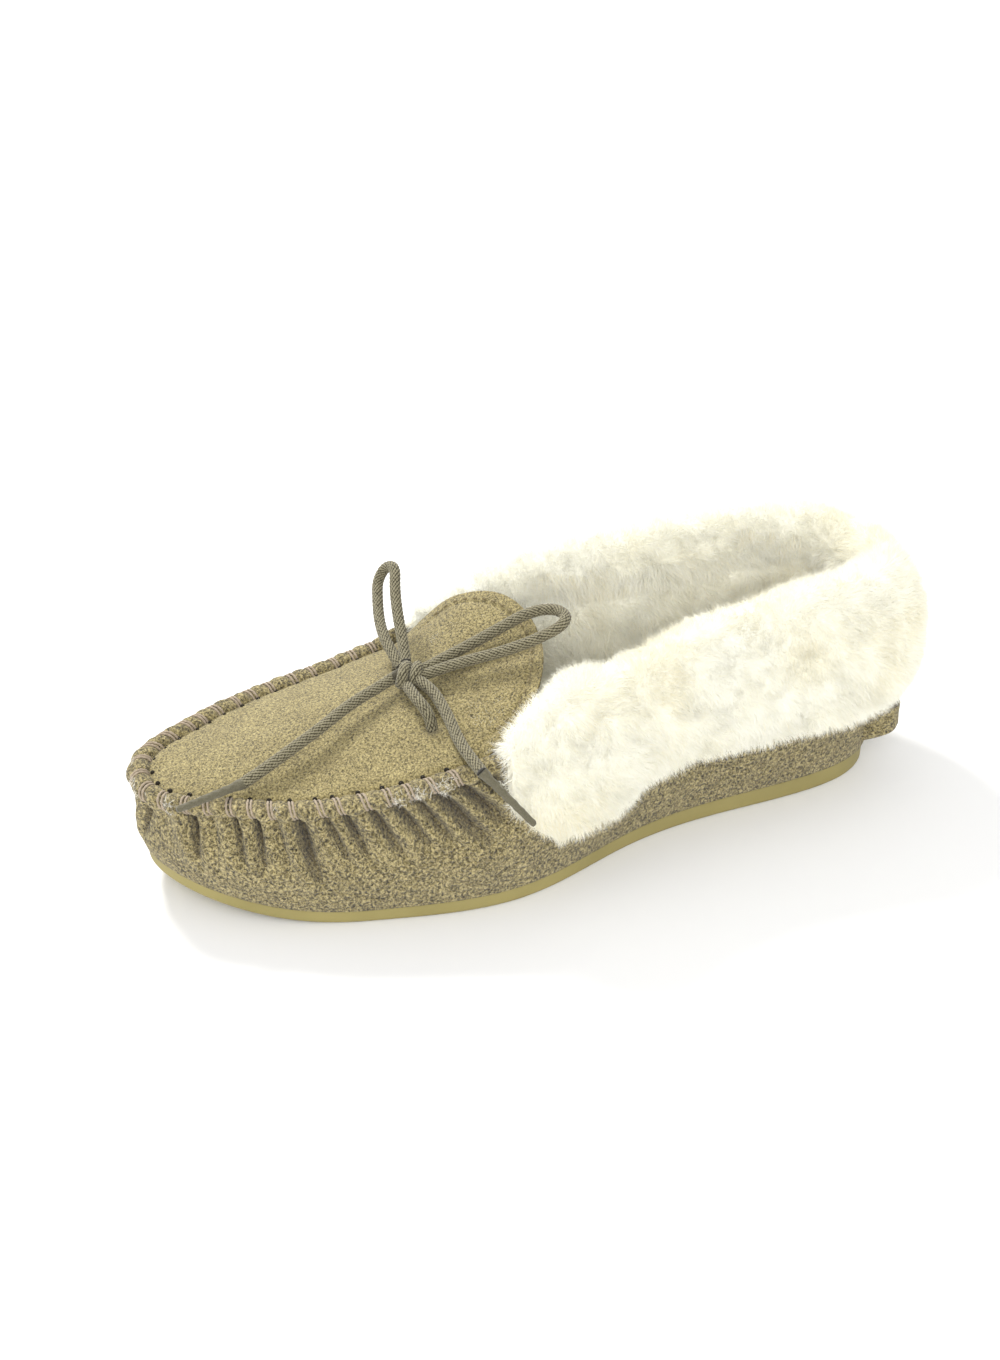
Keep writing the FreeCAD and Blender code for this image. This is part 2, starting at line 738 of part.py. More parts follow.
def whip_stitch_shape():
    """Thread loops over the ridge, each from the apron across to the outside of the wrap."""
    loops = []
    first = outline.share_at(dim("seam_end_out") - 2, True)
    last = outline.share_at(dim("seam_end_in") - 2, False)
    for share in stations(first, last, WHIP_STITCHES):
        point, normal = outline.at(share)
        offset, top = wall_top(share)
        inner_spot = point + normal * (offset - WHIP_APRON_INSET)
        inner = Vector(inner_spot.x, inner_spot.y, apron_height(inner_spot.x, inner_spot.y))
        over = raised(share, offset + WHIP_OVER[0], top + WHIP_OVER[1])
        outer = raised(share, offset + WHIP_OUTSIDE[0], top + WHIP_OUTSIDE[1])
        arc = Part.Arc(inner, over, outer).toShape()
        start = arc.valueAt(arc.FirstParameter)
        along = arc.tangentAt(arc.FirstParameter)
        ring = Part.Wire([Part.Circle(start, along, dim("thread_radius")).toShape()])
        loops.append(Part.Wire([arc]).makePipeShell([ring], True, True))
    return Part.Compound(loops)


def stitch_row(places):
    """Short straight stitches, each lying between two neighbouring places."""
    stitches = []
    for first, second in zip(places[::2], places[1::2]):
        stitches.append(rod(first, second, dim("topstitch_radius")))
    return Part.Compound(stitches)


def tongue_topstitch_shape():
    """A row of stitches just inside the tongue's edge."""
    places = []
    half, length = dim("tongue_half") - 4, dim("tongue_length") - 4
    for i in range(2, 46):
        angle = math.pi * (i + 0.15 * (-1) ** i) / 47
        x = dim("tongue_middle") + half * math.cos(angle)
        y = dim("hinge_line") + 1 + length * math.sin(angle)
        lift = dim("suede") / 2 + dim("topstitch_radius") + 0.2
        places.append(Vector(x, y, apron_height(x, y) + lift))
    return stitch_row(places)


def heel_seam_shape():
    """Stitches down the centre-back seam of the wrap, under the collar."""
    places = []
    for i in range(8):
        height = sole_top(dim("heel_end")) + 3 + 2.0 * i + 0.3 * (-1) ** i
        offset = wall_offset(0.0, height) + dim("topstitch_radius") + 0.05
        places.append(raised(0.0, offset, height))
    return stitch_row(places)


def collar_seam_shape():
    """Stitches that hold the collar's skin to the wrap, just below the fold on the inside."""
    first = outline.share_at(dim("collar_front") + 4, True)
    last = outline.share_at(dim("collar_front") + 4, False)
    places = []
    for i in range(120):
        share = (first - (first + 1 - last) * i / 119.0) % 1.0
        height = fold_height(outline.at(share)[0].y, share < 0.5) - 4.75
        offset = wall_offset(share, height) - dim("suede") - dim("topstitch_radius") - 0.1
        places.append(raised(share, offset, height))
    return stitch_row(places)


def heel_tab():
    """A strip of suede folded into a loop that stands out from the outer rear of the heel."""
    body = doc.addObject("PartDesign::Body", "heel_tab")
    body.Label = "heel_tab"
    sketch = body.newObject("Sketcher::SketchObject", "heel_tab_plan")
    sketch.AttachmentSupport = [(origin_plane(body, "XY_Plane"), "")]
    sketch.MapMode = "FlatFace"
    half, reach, thick = dim("tab_width") / 2, dim("tab_reach"), dim("suede")
    right = (half, "dims.tab_width / 2")
    right_in = (half - thick, "dims.tab_width / 2 - dims.suede")
    left = (-half, "-dims.tab_width / 2")
    left_in = (thick - half, "dims.suede - dims.tab_width / 2")
    root = (0, "0")
    tip = (reach, "dims.tab_reach")
    tip_in = (reach - thick, "dims.tab_reach - dims.suede")
    corners = [(right, root), (right, tip), (left, tip), (left, root),
               (left_in, root), (left_in, tip_in), (right_in, tip_in), (right_in, root)]
    spots = [Vector(x[0], y[0], 0) for x, y in corners]
    count = len(corners)
    for i in range(count):
        sketch.addGeometry(Part.LineSegment(spots[i], spots[(i + 1) % count]), False)
    for i in range(count):
        sketch.addConstraint(Sketcher.Constraint("Coincident", i, 2, (i + 1) % count, 1))
    for i, (x, y) in enumerate(corners):
        place_point(sketch, i, 1, "corner%d" % i, x[1], y[1])
    pad = body.newObject("PartDesign::Pad", "heel_tab_pad")
    pad.Profile = sketch
    pad.setExpression("Length", "dims.tab_tall")
    share = dim("tab_share")
    normal = outline.at(share)[1]
    stand = wall_offset(share, dim("tab_low") + dim("tab_tall") / 2) + 0.3
    body.Placement = FreeCAD.Placement(raised(share, stand, dim("tab_low")),
                                       FreeCAD.Rotation(Vector(0, 1, 0), normal))
    return body


# ---------------------------------------------------------------- assembly

pieces = {}


def keep(piece):
    pieces[piece.Label] = piece


over_sole = dim("board_lift")
over_board = over_sole + dim("board_thick") + dim("layer_gap")
over_foam = over_board + dim("foam_thick") + dim("layer_gap")
keep(sole_layer("outsole", GROUND, 0, None, rounded=True))
keep(sole_layer("insole_board", over_sole, over_board - dim("layer_gap"), "board_inset"))
keep(sole_layer("cushion_foam", over_board, over_foam - dim("layer_gap"), "board_inset"))
keep(sole_layer("insock", over_foam, over_foam + dim("insock_thick"), "insock_inset"))

keep(feature("vamp", vamp_shape()))
seam_out = outline.share_at(dim("hinge_line") - 1, True)
seam_in = outline.share_at(dim("hinge_line") - 1, False)
keep(feature("vamp_lining", wall_lining(seam_out, seam_in, 41, dim("vamp_pile"), 4.5)))
keep(feature("quarter_lining", quarter_lining_shape()))
keep(feature("collar_cuff", collar_shape()))

half_suede = dim("suede") / 2
front_line = dim("hinge_line") - dim("hinge_gap")
back_line = dim("hinge_line") + dim("hinge_gap")
apron_blank = cut_by_common("apron_blank_cut", ridge_plan(dim("suede") + 0.9, front_line),
                            half_suede, -half_suede, -136, -20)
holes = []
for side in ("out", "in"):
    hole = doc.addObject("Part::Cylinder", "lace_hole_" + side)
    hole.setExpression("Radius", "dims.lace_hole_radius")
    hole.Height = 40
    hole.setExpression("Placement.Base.x", "dims.lace_hole_" + side)
    hole.setExpression("Placement.Base.y", "dims.lace_hole_line")
    hole.setExpression("Placement.Base.z", "40")
    holes.append(hole)
both_holes = doc.addObject("Part::Fuse", "lace_holes")
both_holes.Base, both_holes.Tool = holes
apron = doc.addObject("Part::Cut", "apron")
apron.Label = "apron"
apron.Base = apron_blank
apron.Tool = both_holes
keep(apron)

lining_top = -half_suede - 0.3
lining_low = lining_top - dim("apron_pile")
lining_blank = cut_by_common("apron_lining_blank_cut", ridge_plan(11.5, front_line),
                             lining_top, lining_low, -136, -20)
groove = feature("lace_groove", tube("groove", lace_points(LACE_BRIDGE),
                                     dim("lace_hole_radius") + 0.2))
apron_lining = doc.addObject("Part::Cut", "apron_lining")
apron_lining.Label = "apron_lining"
apron_lining.Base = lining_blank
apron_lining.Tool = groove
keep(apron_lining)

tongue = cut_by_common("tongue", lobe_plan(0, back_line), half_suede, -half_suede, -40, 8)
tongue.Label = "tongue"
keep(tongue)
tongue_lining = cut_by_common("tongue_lining", lobe_plan(dim("tongue_lining_inset"), back_line),
                              lining_top, lining_low, -40, 8)
tongue_lining.Label = "tongue_lining"
keep(tongue_lining)

keep(heel_tab())
keep(feature("whip_stitches", whip_stitch_shape()))
keep(feature("tongue_topstitch", tongue_topstitch_shape()))
keep(feature("heel_seam_stitches", heel_seam_shape()))
keep(feature("collar_seam_stitches", collar_seam_shape()))

for name, route in (("lace_end_front", LACE_FRONT), ("lace_end_side", LACE_SIDE),
                    ("lace_loop_far", LACE_LOOP_FAR), ("lace_loop_near", LACE_LOOP_NEAR),
                    ("lace_bridge", LACE_BRIDGE)):
    keep(feature(name, tube(name, lace_points(route), dim("lace_radius"))))
keep(knot())
keep(cone_between("aglet_front", *AGLET_FRONT))
keep(cone_between("aglet_side", *AGLET_SIDE))

doc.recompute()
for item in doc.Objects:
    if "Invalid" in item.State or "Error" in item.State:
        raise RuntimeError("%s failed: %s" % (item.Name, item.State))
for name, piece in pieces.items():
    if piece.Shape.isNull() or not piece.Shape.isValid() or not piece.Shape.Solids:
        raise RuntimeError("%s has no valid solid" % name)

os.makedirs("parts", exist_ok=True)
for name, piece in pieces.items():
    piece.Shape.exportStep("parts/%s.step" % name)
    box = piece.Shape.BoundBox
    print("%-22s %3d solids %9.0f mm3  x %.1f..%.1f  y %.1f..%.1f  z %.1f..%.1f" % (
        name, len(piece.Shape.Solids), piece.Shape.Volume, box.XMin, box.XMax, box.YMin,
        box.YMax, box.ZMin, box.ZMax))
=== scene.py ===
"""A left moccasin slipper with a turned-out fleece collar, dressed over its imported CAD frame."""

import bpy
import numpy as np
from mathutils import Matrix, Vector


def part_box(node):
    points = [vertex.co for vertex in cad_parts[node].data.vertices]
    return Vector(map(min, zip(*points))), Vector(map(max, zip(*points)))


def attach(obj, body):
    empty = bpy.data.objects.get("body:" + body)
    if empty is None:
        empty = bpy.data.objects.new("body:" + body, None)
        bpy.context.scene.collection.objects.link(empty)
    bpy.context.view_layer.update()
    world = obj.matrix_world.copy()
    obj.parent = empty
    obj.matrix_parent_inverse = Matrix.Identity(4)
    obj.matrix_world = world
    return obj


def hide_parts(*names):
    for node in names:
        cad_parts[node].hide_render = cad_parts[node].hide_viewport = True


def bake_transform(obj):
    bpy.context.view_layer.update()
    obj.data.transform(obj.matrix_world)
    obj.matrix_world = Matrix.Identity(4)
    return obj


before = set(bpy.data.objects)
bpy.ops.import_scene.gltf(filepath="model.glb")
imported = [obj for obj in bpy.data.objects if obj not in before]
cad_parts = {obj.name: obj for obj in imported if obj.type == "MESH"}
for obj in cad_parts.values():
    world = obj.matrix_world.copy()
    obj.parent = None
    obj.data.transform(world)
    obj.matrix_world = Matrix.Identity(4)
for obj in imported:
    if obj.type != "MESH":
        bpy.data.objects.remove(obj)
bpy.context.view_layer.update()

# Shapes are worked out in millimetres, as in the CAD, and made in metres.
MM = 0.001


# ---------------- camera, floor and light

CAMERA_PLACE = (0.4675, -0.1903, 0.343)
CAMERA_BACK = (0.8085, -0.3104, 0.5)
CAMERA_LENS = 47.65
LIGHTS_AIM = (0, 0, 0.04)
SKY_STRENGTH = 0.82
FLOOR_HALF = 8.0
FLOOR_CORNERS = ((-1, -1), (1, -1), (1, 1), (-1, 1))
FLOOR_DROP = 0.0001
FLOOR_SHADE = 0.93


def add_camera():
    """The photo's viewing angle, solved from the outline of the sole on the floor."""
    data = bpy.data.cameras.new("camera")
    data.lens = CAMERA_LENS
    camera = bpy.data.objects.new("camera", data)
    bpy.context.collection.objects.link(camera)
    camera.location = CAMERA_PLACE
    camera.rotation_euler = (-Vector(CAMERA_BACK)).to_track_quat("-Z", "Y").to_euler()
    bpy.context.scene.camera = camera


def add_area(name, stand, size, power, colour):
    """A round soft light that stands at a place and looks at the shoe."""
    data = bpy.data.lights.new(name, "AREA")
    data.shape = "DISK"
    data.size = size
    data.energy = power
    data.color = colour
    light = bpy.data.objects.new(name, data)
    bpy.context.collection.objects.link(light)
    light.location = stand
    light.rotation_euler = (Vector(LIGHTS_AIM) - Vector(stand)).to_track_quat("-Z", "Y").to_euler()


def add_studio():
    """A pale floor under an even white sky, one key from behind the inner side and a gentle fill."""
    world = bpy.data.worlds.new("studio")
    bpy.context.scene.world = world
    world.use_nodes = True
    sky = world.node_tree.nodes["Background"]
    sky.inputs["Color"].default_value = (1.0, 1.0, 1.0, 1)
    sky.inputs["Strength"].default_value = SKY_STRENGTH
    mesh = bpy.data.meshes.new("floor")
    corners = [(x * FLOOR_HALF, y * FLOOR_HALF, 0) for x, y in FLOOR_CORNERS]
    mesh.from_pydata(corners, [], [(0, 1, 2, 3)])
    floor = bpy.data.objects.new("floor", mesh)
    floor.location.z = -FLOOR_DROP
    bpy.context.collection.objects.link(floor)
    paper = bpy.data.materials.new("paper")
    paper.use_nodes = True
    shader = paper.node_tree.nodes["Principled BSDF"]
    shader.inputs["Base Color"].default_value = (FLOOR_SHADE, FLOOR_SHADE, FLOOR_SHADE, 1)
    shader.inputs["Roughness"].default_value = 0.9
    shader.inputs["Specular IOR Level"].default_value = 0.1
    mesh.materials.append(paper)
    add_area("key", stand=(-1.2, -0.25, 1.35), size=0.45, power=34, colour=(1.0, 0.99, 0.97))
    add_area("fill", stand=(1.3, -0.5, 0.9), size=1.2, power=15, colour=(1.0, 1.0, 1.0))
    bpy.context.scene.view_settings.view_transform = "Standard"


# ---------------- materials

class Paint:
    """A procedural material built round one Principled shader, on object coordinates."""

    def __init__(self, name, roughness, **sockets):
        self.material = bpy.data.materials.new(name)
        self.material.use_nodes = True
        self.tree = self.material.node_tree
        self.shader = self.tree.nodes["Principled BSDF"]
        self.shader.inputs["Roughness"].default_value = roughness
        for socket, value in sockets.items():
            self.shader.inputs[socket.replace("_", " ")].default_value = value
        self.place = self.tree.nodes.new("ShaderNodeTexCoord").outputs["Object"]

    def link(self, output, socket):
        self.tree.links.new(output, socket)

    def noise(self, grain, detail=3.0, rough=0.6, warp=0.0):
        """Noise whose features are about grain millimetres across."""
        node = self.tree.nodes.new("ShaderNodeTexNoise")
        node.inputs["Scale"].default_value = 1000.0 / grain
        node.inputs["Detail"].default_value = detail
        node.inputs["Roughness"].default_value = rough
        node.inputs["Distortion"].default_value = warp
        self.link(self.place, node.inputs["Vector"])
        return node.outputs["Fac"]

    def ramp(self, source, *stops):
        """Colours placed along a source value."""
        node = self.tree.nodes.new("ShaderNodeValToRGB")
        steps = node.color_ramp.elements
        while len(steps) < len(stops):
            steps.new(0.5)
        for step, (position, colour) in zip(steps, stops):
            step.position = position
            step.color = (*colour, 1)
        self.link(source, node.inputs["Fac"])
        return node.outputs["Color"]

    def multiply(self, first, second, share):
        """The first colour, darkened by a share of the second."""
        node = self.tree.nodes.new("ShaderNodeMix")
        node.data_type = "RGBA"
        node.blend_type = "MULTIPLY"
        node.inputs["Factor"].default_value = share
        self.link(first, node.inputs["A"])
        self.link(second, node.inputs["B"])
        return node.outputs["Result"]

    def colour(self, source):
        self.link(source, self.shader.inputs["Base Color"])

    def bump(self, source, depth, strength=1.0):
        """Relief of about depth millimetres; further calls add to it."""
        node = self.tree.nodes.new("ShaderNodeBump")
        node.inputs["Strength"].default_value = strength
        node.inputs["Distance"].default_value = depth * MM
        self.link(source, node.inputs["Height"])
        before = self.shader.inputs["Normal"]
        if before.is_linked:
            self.link(before.links[0].from_socket, node.inputs["Normal"])
        self.link(node.outputs["Normal"], before)


WHITE = (1.0, 1.0, 1.0)
SPECK_TINT = (0.42, 0.40, 0.36)
PATCH_TINT = (0.80, 0.79, 0.77)
PATCH_SIZE = 14


def suede(name, dark, middle, light, grain, relief):
    """Napped leather: speckled grain, dark specks, brushed patches and a soft sheen."""
    paint = Paint(name, 0.95, Sheen_Weight=0.25, Sheen_Roughness=0.6, Specular_IOR_Level=0.15)
    speckle = paint.noise(grain, detail=4.0, rough=0.7, warp=0.6)
    grains = paint.ramp(speckle, (0.37, dark), (0.48, middle), (0.61, light))
    fine = paint.noise(grain * 0.55, detail=2.0, rough=0.5, warp=0.8)
    specks = paint.ramp(fine, (0.36, SPECK_TINT), (0.47, WHITE))
    grains = paint.multiply(grains, specks, 0.75)
    brushed = paint.noise(PATCH_SIZE, detail=2.0, rough=0.5, warp=0.4)
    patches = paint.ramp(brushed, (0.3, PATCH_TINT), (0.7, WHITE))
    paint.colour(paint.multiply(grains, patches, 0.8))
    paint.bump(speckle, relief)
    paint.bump(paint.noise(grain * 4, 2.0), relief * 1.2, 0.6)
    return paint.material


def fleece_base():
    """The bright wool that shows between the modelled fibres."""
    paint = Paint("fleece_base", 0.9, Sheen_Weight=0.3, Sheen_Roughness=0.7,
                  Specular_IOR_Level=0.1)
    fuzz = paint.noise(1.6, detail=4.0, rough=0.7, warp=1.0)
    stains = paint.noise(22, rough=0.5)
    paint.colour(paint.ramp(stains, (0.3, (0.97, 0.94, 0.79)), (0.7, (0.98, 0.97, 0.88))))
    paint.bump(fuzz, 1.0)
    return paint.material


def wool(name, colour):
    """One shade of wool fibre: a fleece mixes several, fibre by fibre."""
    return Paint(name, 0.75, Base_Color=(*colour, 1), Sheen_Weight=0.2,
                 Specular_IOR_Level=0.2).material


def rubber():
    """Matte moulded rubber with faint clouds and a fine grain."""
    paint = Paint("sole_rubber", 0.55, Specular_IOR_Level=0.35)
    clouds = paint.noise(30)
    paint.colour(paint.ramp(clouds, (0.3, (0.27, 0.228, 0.084)), (0.7, (0.33, 0.278, 0.105))))
    paint.bump(paint.noise(0.9), 0.06)
    return paint.material


def lace_cloth(name, dark, light, depth):
    """Spun thread, seen so near that its own fibres show."""
    paint = Paint(name, 0.8, Sheen_Weight=0.2, Specular_IOR_Level=0.2)
    spun = paint.noise(0.35)
    paint.colour(paint.ramp(spun, (0.25, dark), (0.75, light)))
    paint.bump(spun, depth)
    return paint.material


def plain(name, first, second, grain, roughness, depth):
    """A rough stuff that varies between two colours."""
    paint = Paint(name, roughness)
    speck = paint.noise(grain)
    paint.colour(paint.ramp(speck, (0.3, first), (0.7, second)))
    paint.bump(speck, depth)
    return paint.material


SUEDE = suede("suede_wrap", dark=(0.038, 0.029, 0.010), middle=(0.240, 0.192, 0.073),
              light=(0.65, 0.54, 0.255), grain=0.9, relief=1.2)
# Darker copies of the wrap's suede, for faces deep in its gathers: painted shade in the creases and
# folds.
SUEDE_CREASE_SHADE = suede("suede_crease_painted_shade", dark=(0.028, 0.020, 0.007), middle=(0.15, 0.117, 0.044),
                     light=(0.40, 0.33, 0.155), grain=0.8, relief=1.1)
SUEDE_FOLD_SHADE = suede("suede_fold_painted_shade", dark=(0.017, 0.012, 0.005), middle=(0.085, 0.065, 0.026),
                   light=(0.22, 0.175, 0.085), grain=0.8, relief=0.9)
SUEDE_FINE = suede("suede_apron", dark=(0.060, 0.046, 0.015), middle=(0.262, 0.213, 0.084),
                   light=(0.505, 0.420, 0.188), grain=0.65, relief=0.4)
SUEDE_EDGE = plain("suede_cut_edge", (0.07, 0.055, 0.035), (0.14, 0.11, 0.07),
                   grain=0.6, roughness=0.95, depth=0.1)
FLEECE = fleece_base()
WOOL = [wool("wool_white", (0.98, 0.97, 0.89)), wool("wool_cream", (0.97, 0.95, 0.83)),
        wool("wool_yellow", (0.95, 0.90, 0.72))]
TUFT = wool("wool_tuft", (0.80, 0.77, 0.68))
RUBBER = rubber()
LACE = lace_cloth("lace_braid", (0.16, 0.142, 0.088), (0.32, 0.29, 0.185), 0.06)
# Darker thread for the faces in the gaps between a braid's strands: painted shade.
LACE_GAP_SHADE = lace_cloth("lace_gap_painted_shade", (0.035, 0.030, 0.018), (0.09, 0.078, 0.047), 0.04)
AGLET = lace_cloth("aglet_film", (0.085, 0.078, 0.05), (0.16, 0.145, 0.095), 0.04)
THREAD = lace_cloth("thread", (0.24, 0.185, 0.125), (0.47, 0.39, 0.29), 0.06)
TOPSTITCH = lace_cloth("topstitch", (0.15, 0.12, 0.058), (0.27, 0.22, 0.11), 0.04)
# Near-black plugs set in the stitch holes: painted shade.
HOLE_SHADE = plain("stitch_hole_shade", (0.012, 0.010, 0.006), (0.03, 0.024, 0.014),
             grain=0.5, roughness=1.0, depth=0.05)
BOARD = plain("fibreboard", (0.22, 0.17, 0.12), (0.34, 0.27, 0.19),
              grain=0.7, roughness=0.9, depth=0.1)
FOAM = plain("open_foam", (0.60, 0.57, 0.47), (0.76, 0.74, 0.65),
             grain=0.8, roughness=0.95, depth=0.2)


# ---------------- meshes

def new_piece(name, points, triangles, materials, shades=None):
    """A mesh piece from points in millimetres and an array of triangles."""
    mesh = bpy.data.meshes.new(name)
    points = np.asarray(points, np.float32).reshape(-1, 3) * MM
    triangles = np.asarray(triangles, np.int32).reshape(-1, 3)
    mesh.vertices.add(len(points))
    mesh.vertices.foreach_set("co", points.ravel())
    mesh.loops.add(triangles.size)
    mesh.loops.foreach_set("vertex_index", triangles.ravel())
    mesh.polygons.add(len(triangles))
    mesh.polygons.foreach_set("loop_start", np.arange(0, triangles.size, 3, dtype=np.int32))
    if shades is not None:
        mesh.polygons.foreach_set("material_index", np.asarray(shades, np.int32))
    mesh.update(calc_edges=True)
    mesh.validate()
    mesh.shade_smooth()
    for material in materials:
        mesh.materials.append(material)
    piece = bpy.data.objects.new(name, mesh)
    bpy.context.collection.objects.link(piece)
    return piece


def grid_faces(rows, columns, close_rows=False, close_columns=False):
    """Triangles over a grid of points, wound so that rows x columns faces outwards."""
    last_row = rows if close_rows else rows - 1
    last_column = columns if close_columns else columns - 1
    i, j = np.meshgrid(np.arange(last_row), np.arange(last_column), indexing="ij")
    a = i * columns + j
    b = ((i + 1) % rows) * columns + j
    c = ((i + 1) % rows) * columns + (j + 1) % columns
    d = i * columns + (j + 1) % columns
    faces = np.stack([np.stack([a, b, c], -1), np.stack([a, c, d], -1)], -2)
    return faces.reshape(-1, 3)


def smoothstep(value, low, high):
    """0 below low, 1 above high and a smooth rise between."""
    share = np.clip((np.asarray(value, float) - low) / (high - low), 0, 1)
    return share * share * (3 - 2 * share)


NOISE_CELLS = 32


def lumps(points, size, seed):
    """Smooth noise from -1 to 1 over space, with features of about the given size."""
    table = np.random.default_rng(seed).uniform(-1, 1, (NOISE_CELLS,) * 3)
    spot = np.asarray(points, float) / size
    cell = np.floor(spot).astype(int)
    part = spot - cell
    part = part * part * (3 - 2 * part)
    total = np.zeros(spot.shape[:-1])
    for corner in np.ndindex(2, 2, 2):
        index = (cell + corner) % NOISE_CELLS
        weight = np.prod(np.where(np.array(corner) == 1, part, 1 - part), axis=-1)
        total += weight * table[index[..., 0], index[..., 1], index[..., 2]]
    return total


def swirl(points, size, seed):
    """A smooth field of directions, so that neighbouring fibres lean alike."""
    return np.stack([lumps(points, size, seed + k) for k in range(3)], -1)


def unit(vectors):
    vectors = np.asarray(vectors, float)
    return vectors / np.maximum(np.linalg.norm(vectors, axis=-1, keepdims=True), 1e-9)


def distance_along(line):
    """Distance walked to each point of a line."""
    return np.concatenate([[0], np.cumsum(np.linalg.norm(np.diff(line, axis=0), axis=1))])


def resample(line, count):
    """The same line with points at even steps, and the distance walked to each."""
    walked = distance_along(line)
    even = np.linspace(0, walked[-1], count)
    return np.stack([np.interp(even, walked, axis) for axis in line.T], -1), even


def curve_through(controls, count):
    """Smooth points through rows of control points."""
    rows = np.concatenate([controls[..., :1, :], controls, controls[..., -1:, :]], -2)
    t = np.linspace(0, controls.shape[-2] - 1.0001, count)
    i = t.astype(int)
    s = (t - i)[:, None]
    a, b, c, d = (rows[..., i + k, :] for k in range(4))
    return 0.5 * (2 * b + (c - a) * s + (2 * a - 5 * b + 4 * c - d) * s ** 2
                  + (3 * b - a - 3 * c + d) * s ** 3)


# ---------------- the shoe's lines, as in the CAD

# Poles of the curve round the sole's edge, in plan.
OUTLINE_POINTS = [(-40, 118), (-3, 133), (24, 114), (23, 56), (29, 20),
                  (49, -20), (40, -62), (31, -99), (-5, -138), (-41, -108),
                  (-45, -61), (-44, -24), (-34, 22), (-34, 52)]
# Height of the middle of the apron and tongue along the shoe.
CREST_Y = [-132, -115, -90, -60, -38, -28, -15, 8]
CREST_Z = [36.5, 39.5, 44, 50, 56, 59, 64.5, 75]
SPRING_START = -70
SPRING_RADIUS = 179
SOLE_AT_TOE = 5
SOLE_THICKENS = 3
HEEL_FROM_SPRING = 216
APRON_HALF = 39
TONGUE_RISE = 10
FOLD_BACK = 69.0
WALL_BELLY = 2.5
OUTER_SEAM_END, INNER_SEAM_END = -32.0, -40.0
SAMPLES_A_SPAN = 240


def walk_outline():
    """The sole's edge from the heel along the outer side, with its outward normals."""
    poles = np.array(OUTLINE_POINTS, float)
    count = len(poles)
    t = np.arange(0, count, 1 / SAMPLES_A_SPAN)
    i = t.astype(int)
    s = (t - i)[:, None]
    weights = ((1 - s) ** 3 / 6, (3 * s ** 3 - 6 * s ** 2 + 4) / 6,
               (-3 * s ** 3 + 3 * s ** 2 + 3 * s + 1) / 6, s ** 3 / 6)
    points = sum(w * poles[(i + k) % count] for k, w in enumerate(weights))
    points = np.roll(points, -int(np.argmax(points[:, 1])), axis=0)
    along = unit(np.roll(points, -1, axis=0) - np.roll(points, 1, axis=0))
    normals = np.stack([-along[:, 1], along[:, 0]], -1)
    points = np.vstack([points, points[:1]])
    normals = np.vstack([normals, normals[:1]])
    walked = distance_along(points)
    return walked / walked[-1], points, normals, walked[-1]


EDGE_SHARES, EDGE_POINTS, EDGE_NORMALS, EDGE_LENGTH = walk_outline()


def edge_at(share):
    """Points and outward normals at shares of the way round the sole's edge."""
    share = np.asarray(share, float) % 1.0
    point = np.stack([np.interp(share, EDGE_SHARES, EDGE_POINTS[:, k]) for k in (0, 1)], -1)
    normal = np.stack([np.interp(share, EDGE_SHARES, EDGE_NORMALS[:, k]) for k in (0, 1)], -1)
    return point, unit(normal)


def share_at(y, outer):
    """Share of the way round where the outer or inner side crosses a line across the shoe."""
    half = (EDGE_SHARES < 0.5) == outer
    return float(EDGE_SHARES[half][np.argmin(np.abs(EDGE_POINTS[half, 1] - y))])


def spring_lift(y):
    """How far the toe spring lifts the tread off the floor."""
    beyond = np.maximum(SPRING_START - np.asarray(y, float), 0)
    return SPRING_RADIUS - np.sqrt(SPRING_RADIUS ** 2 - beyond ** 2)


def sole_top(y):
    behind = np.maximum(np.asarray(y, float) - SPRING_START, 0)
    return spring_lift(y) + SOLE_AT_TOE + SOLE_THICKENS * behind / HEEL_FROM_SPRING


def crest(y):
    return np.interp(y, CREST_Y, CREST_Z)


def apron_height(x, y):
    """Middle surface of the apron and tongue: crowned, and higher on the inner side."""
    side = (x - (1 + 0.09 * (y + 30))) / APRON_HALF
    smooth = (crest(y - 6) + crest(y - 3) + crest(y) + crest(y + 3) + crest(y + 6)) / 5
    rise = TONGUE_RISE * smoothstep(y, -40, -15) * smoothstep(2 - x, -8, 33)
    return smooth - (7 + 0.07 * np.maximum(y + 40, 0)) * side ** 2 - 2.5 * side + rise


def fold_height(y, outer):
    """Height of the topline, where the collar folds over it behind the seam."""
    front = np.where(outer, 52.0, 55.0)
    end = np.where(outer, 100.0, 38.0)
    return front + (FOLD_BACK - front) * smoothstep(y, -30, end)


def ridge_offset(y):
    """How far the seam's ridge stands outside the sole's edge: most at the toe."""
    return -4 + 6 * np.exp(-((y + 127) / 12.0) ** 2)


def wall_top(share):
    """Outward offset and height of the wall's top edge, and how far it is free of the seam."""
    share = np.asarray(share, float) % 1.0
    point, normal = edge_at(share)
    y = point[..., 1]
    outer = share < 0.5
    seam_end = np.where(outer, OUTER_SEAM_END, INNER_SEAM_END)
    offset = ridge_offset(y)
    ridge = point + normal * offset[..., None]
    on_ridge = apron_height(ridge[..., 0], ridge[..., 1]) + 1.5
    back = smoothstep(y - seam_end, 0, 14)
    return offset * (1 - back), on_ridge + (fold_height(y, outer) - on_ridge) * back, back


def wall_offset(share, height):
    """Outward offset of the wall's face, which bellies out above the sole."""
    foot = sole_top(edge_at(share)[0][..., 1])
    top_offset, top, _ = wall_top(share)
    rise = np.clip((height - foot) / (top - foot), 0, 1)
    belly = WALL_BELLY * np.sin(np.pi * np.minimum(rise * 1.15 + 0.12, 1.0))
    return top_offset * smoothstep(rise, 0.35, 1.0) + belly


def place(share, offset, height):
    """Points at outward offsets and heights from the sole's edge."""
    point, normal = edge_at(share)
    spot = point + normal * np.asarray(offset)[..., None]
    return np.concatenate([spot, np.asarray(height, float)[..., None]], -1)


# ---------------- the wrap with its gathered seam

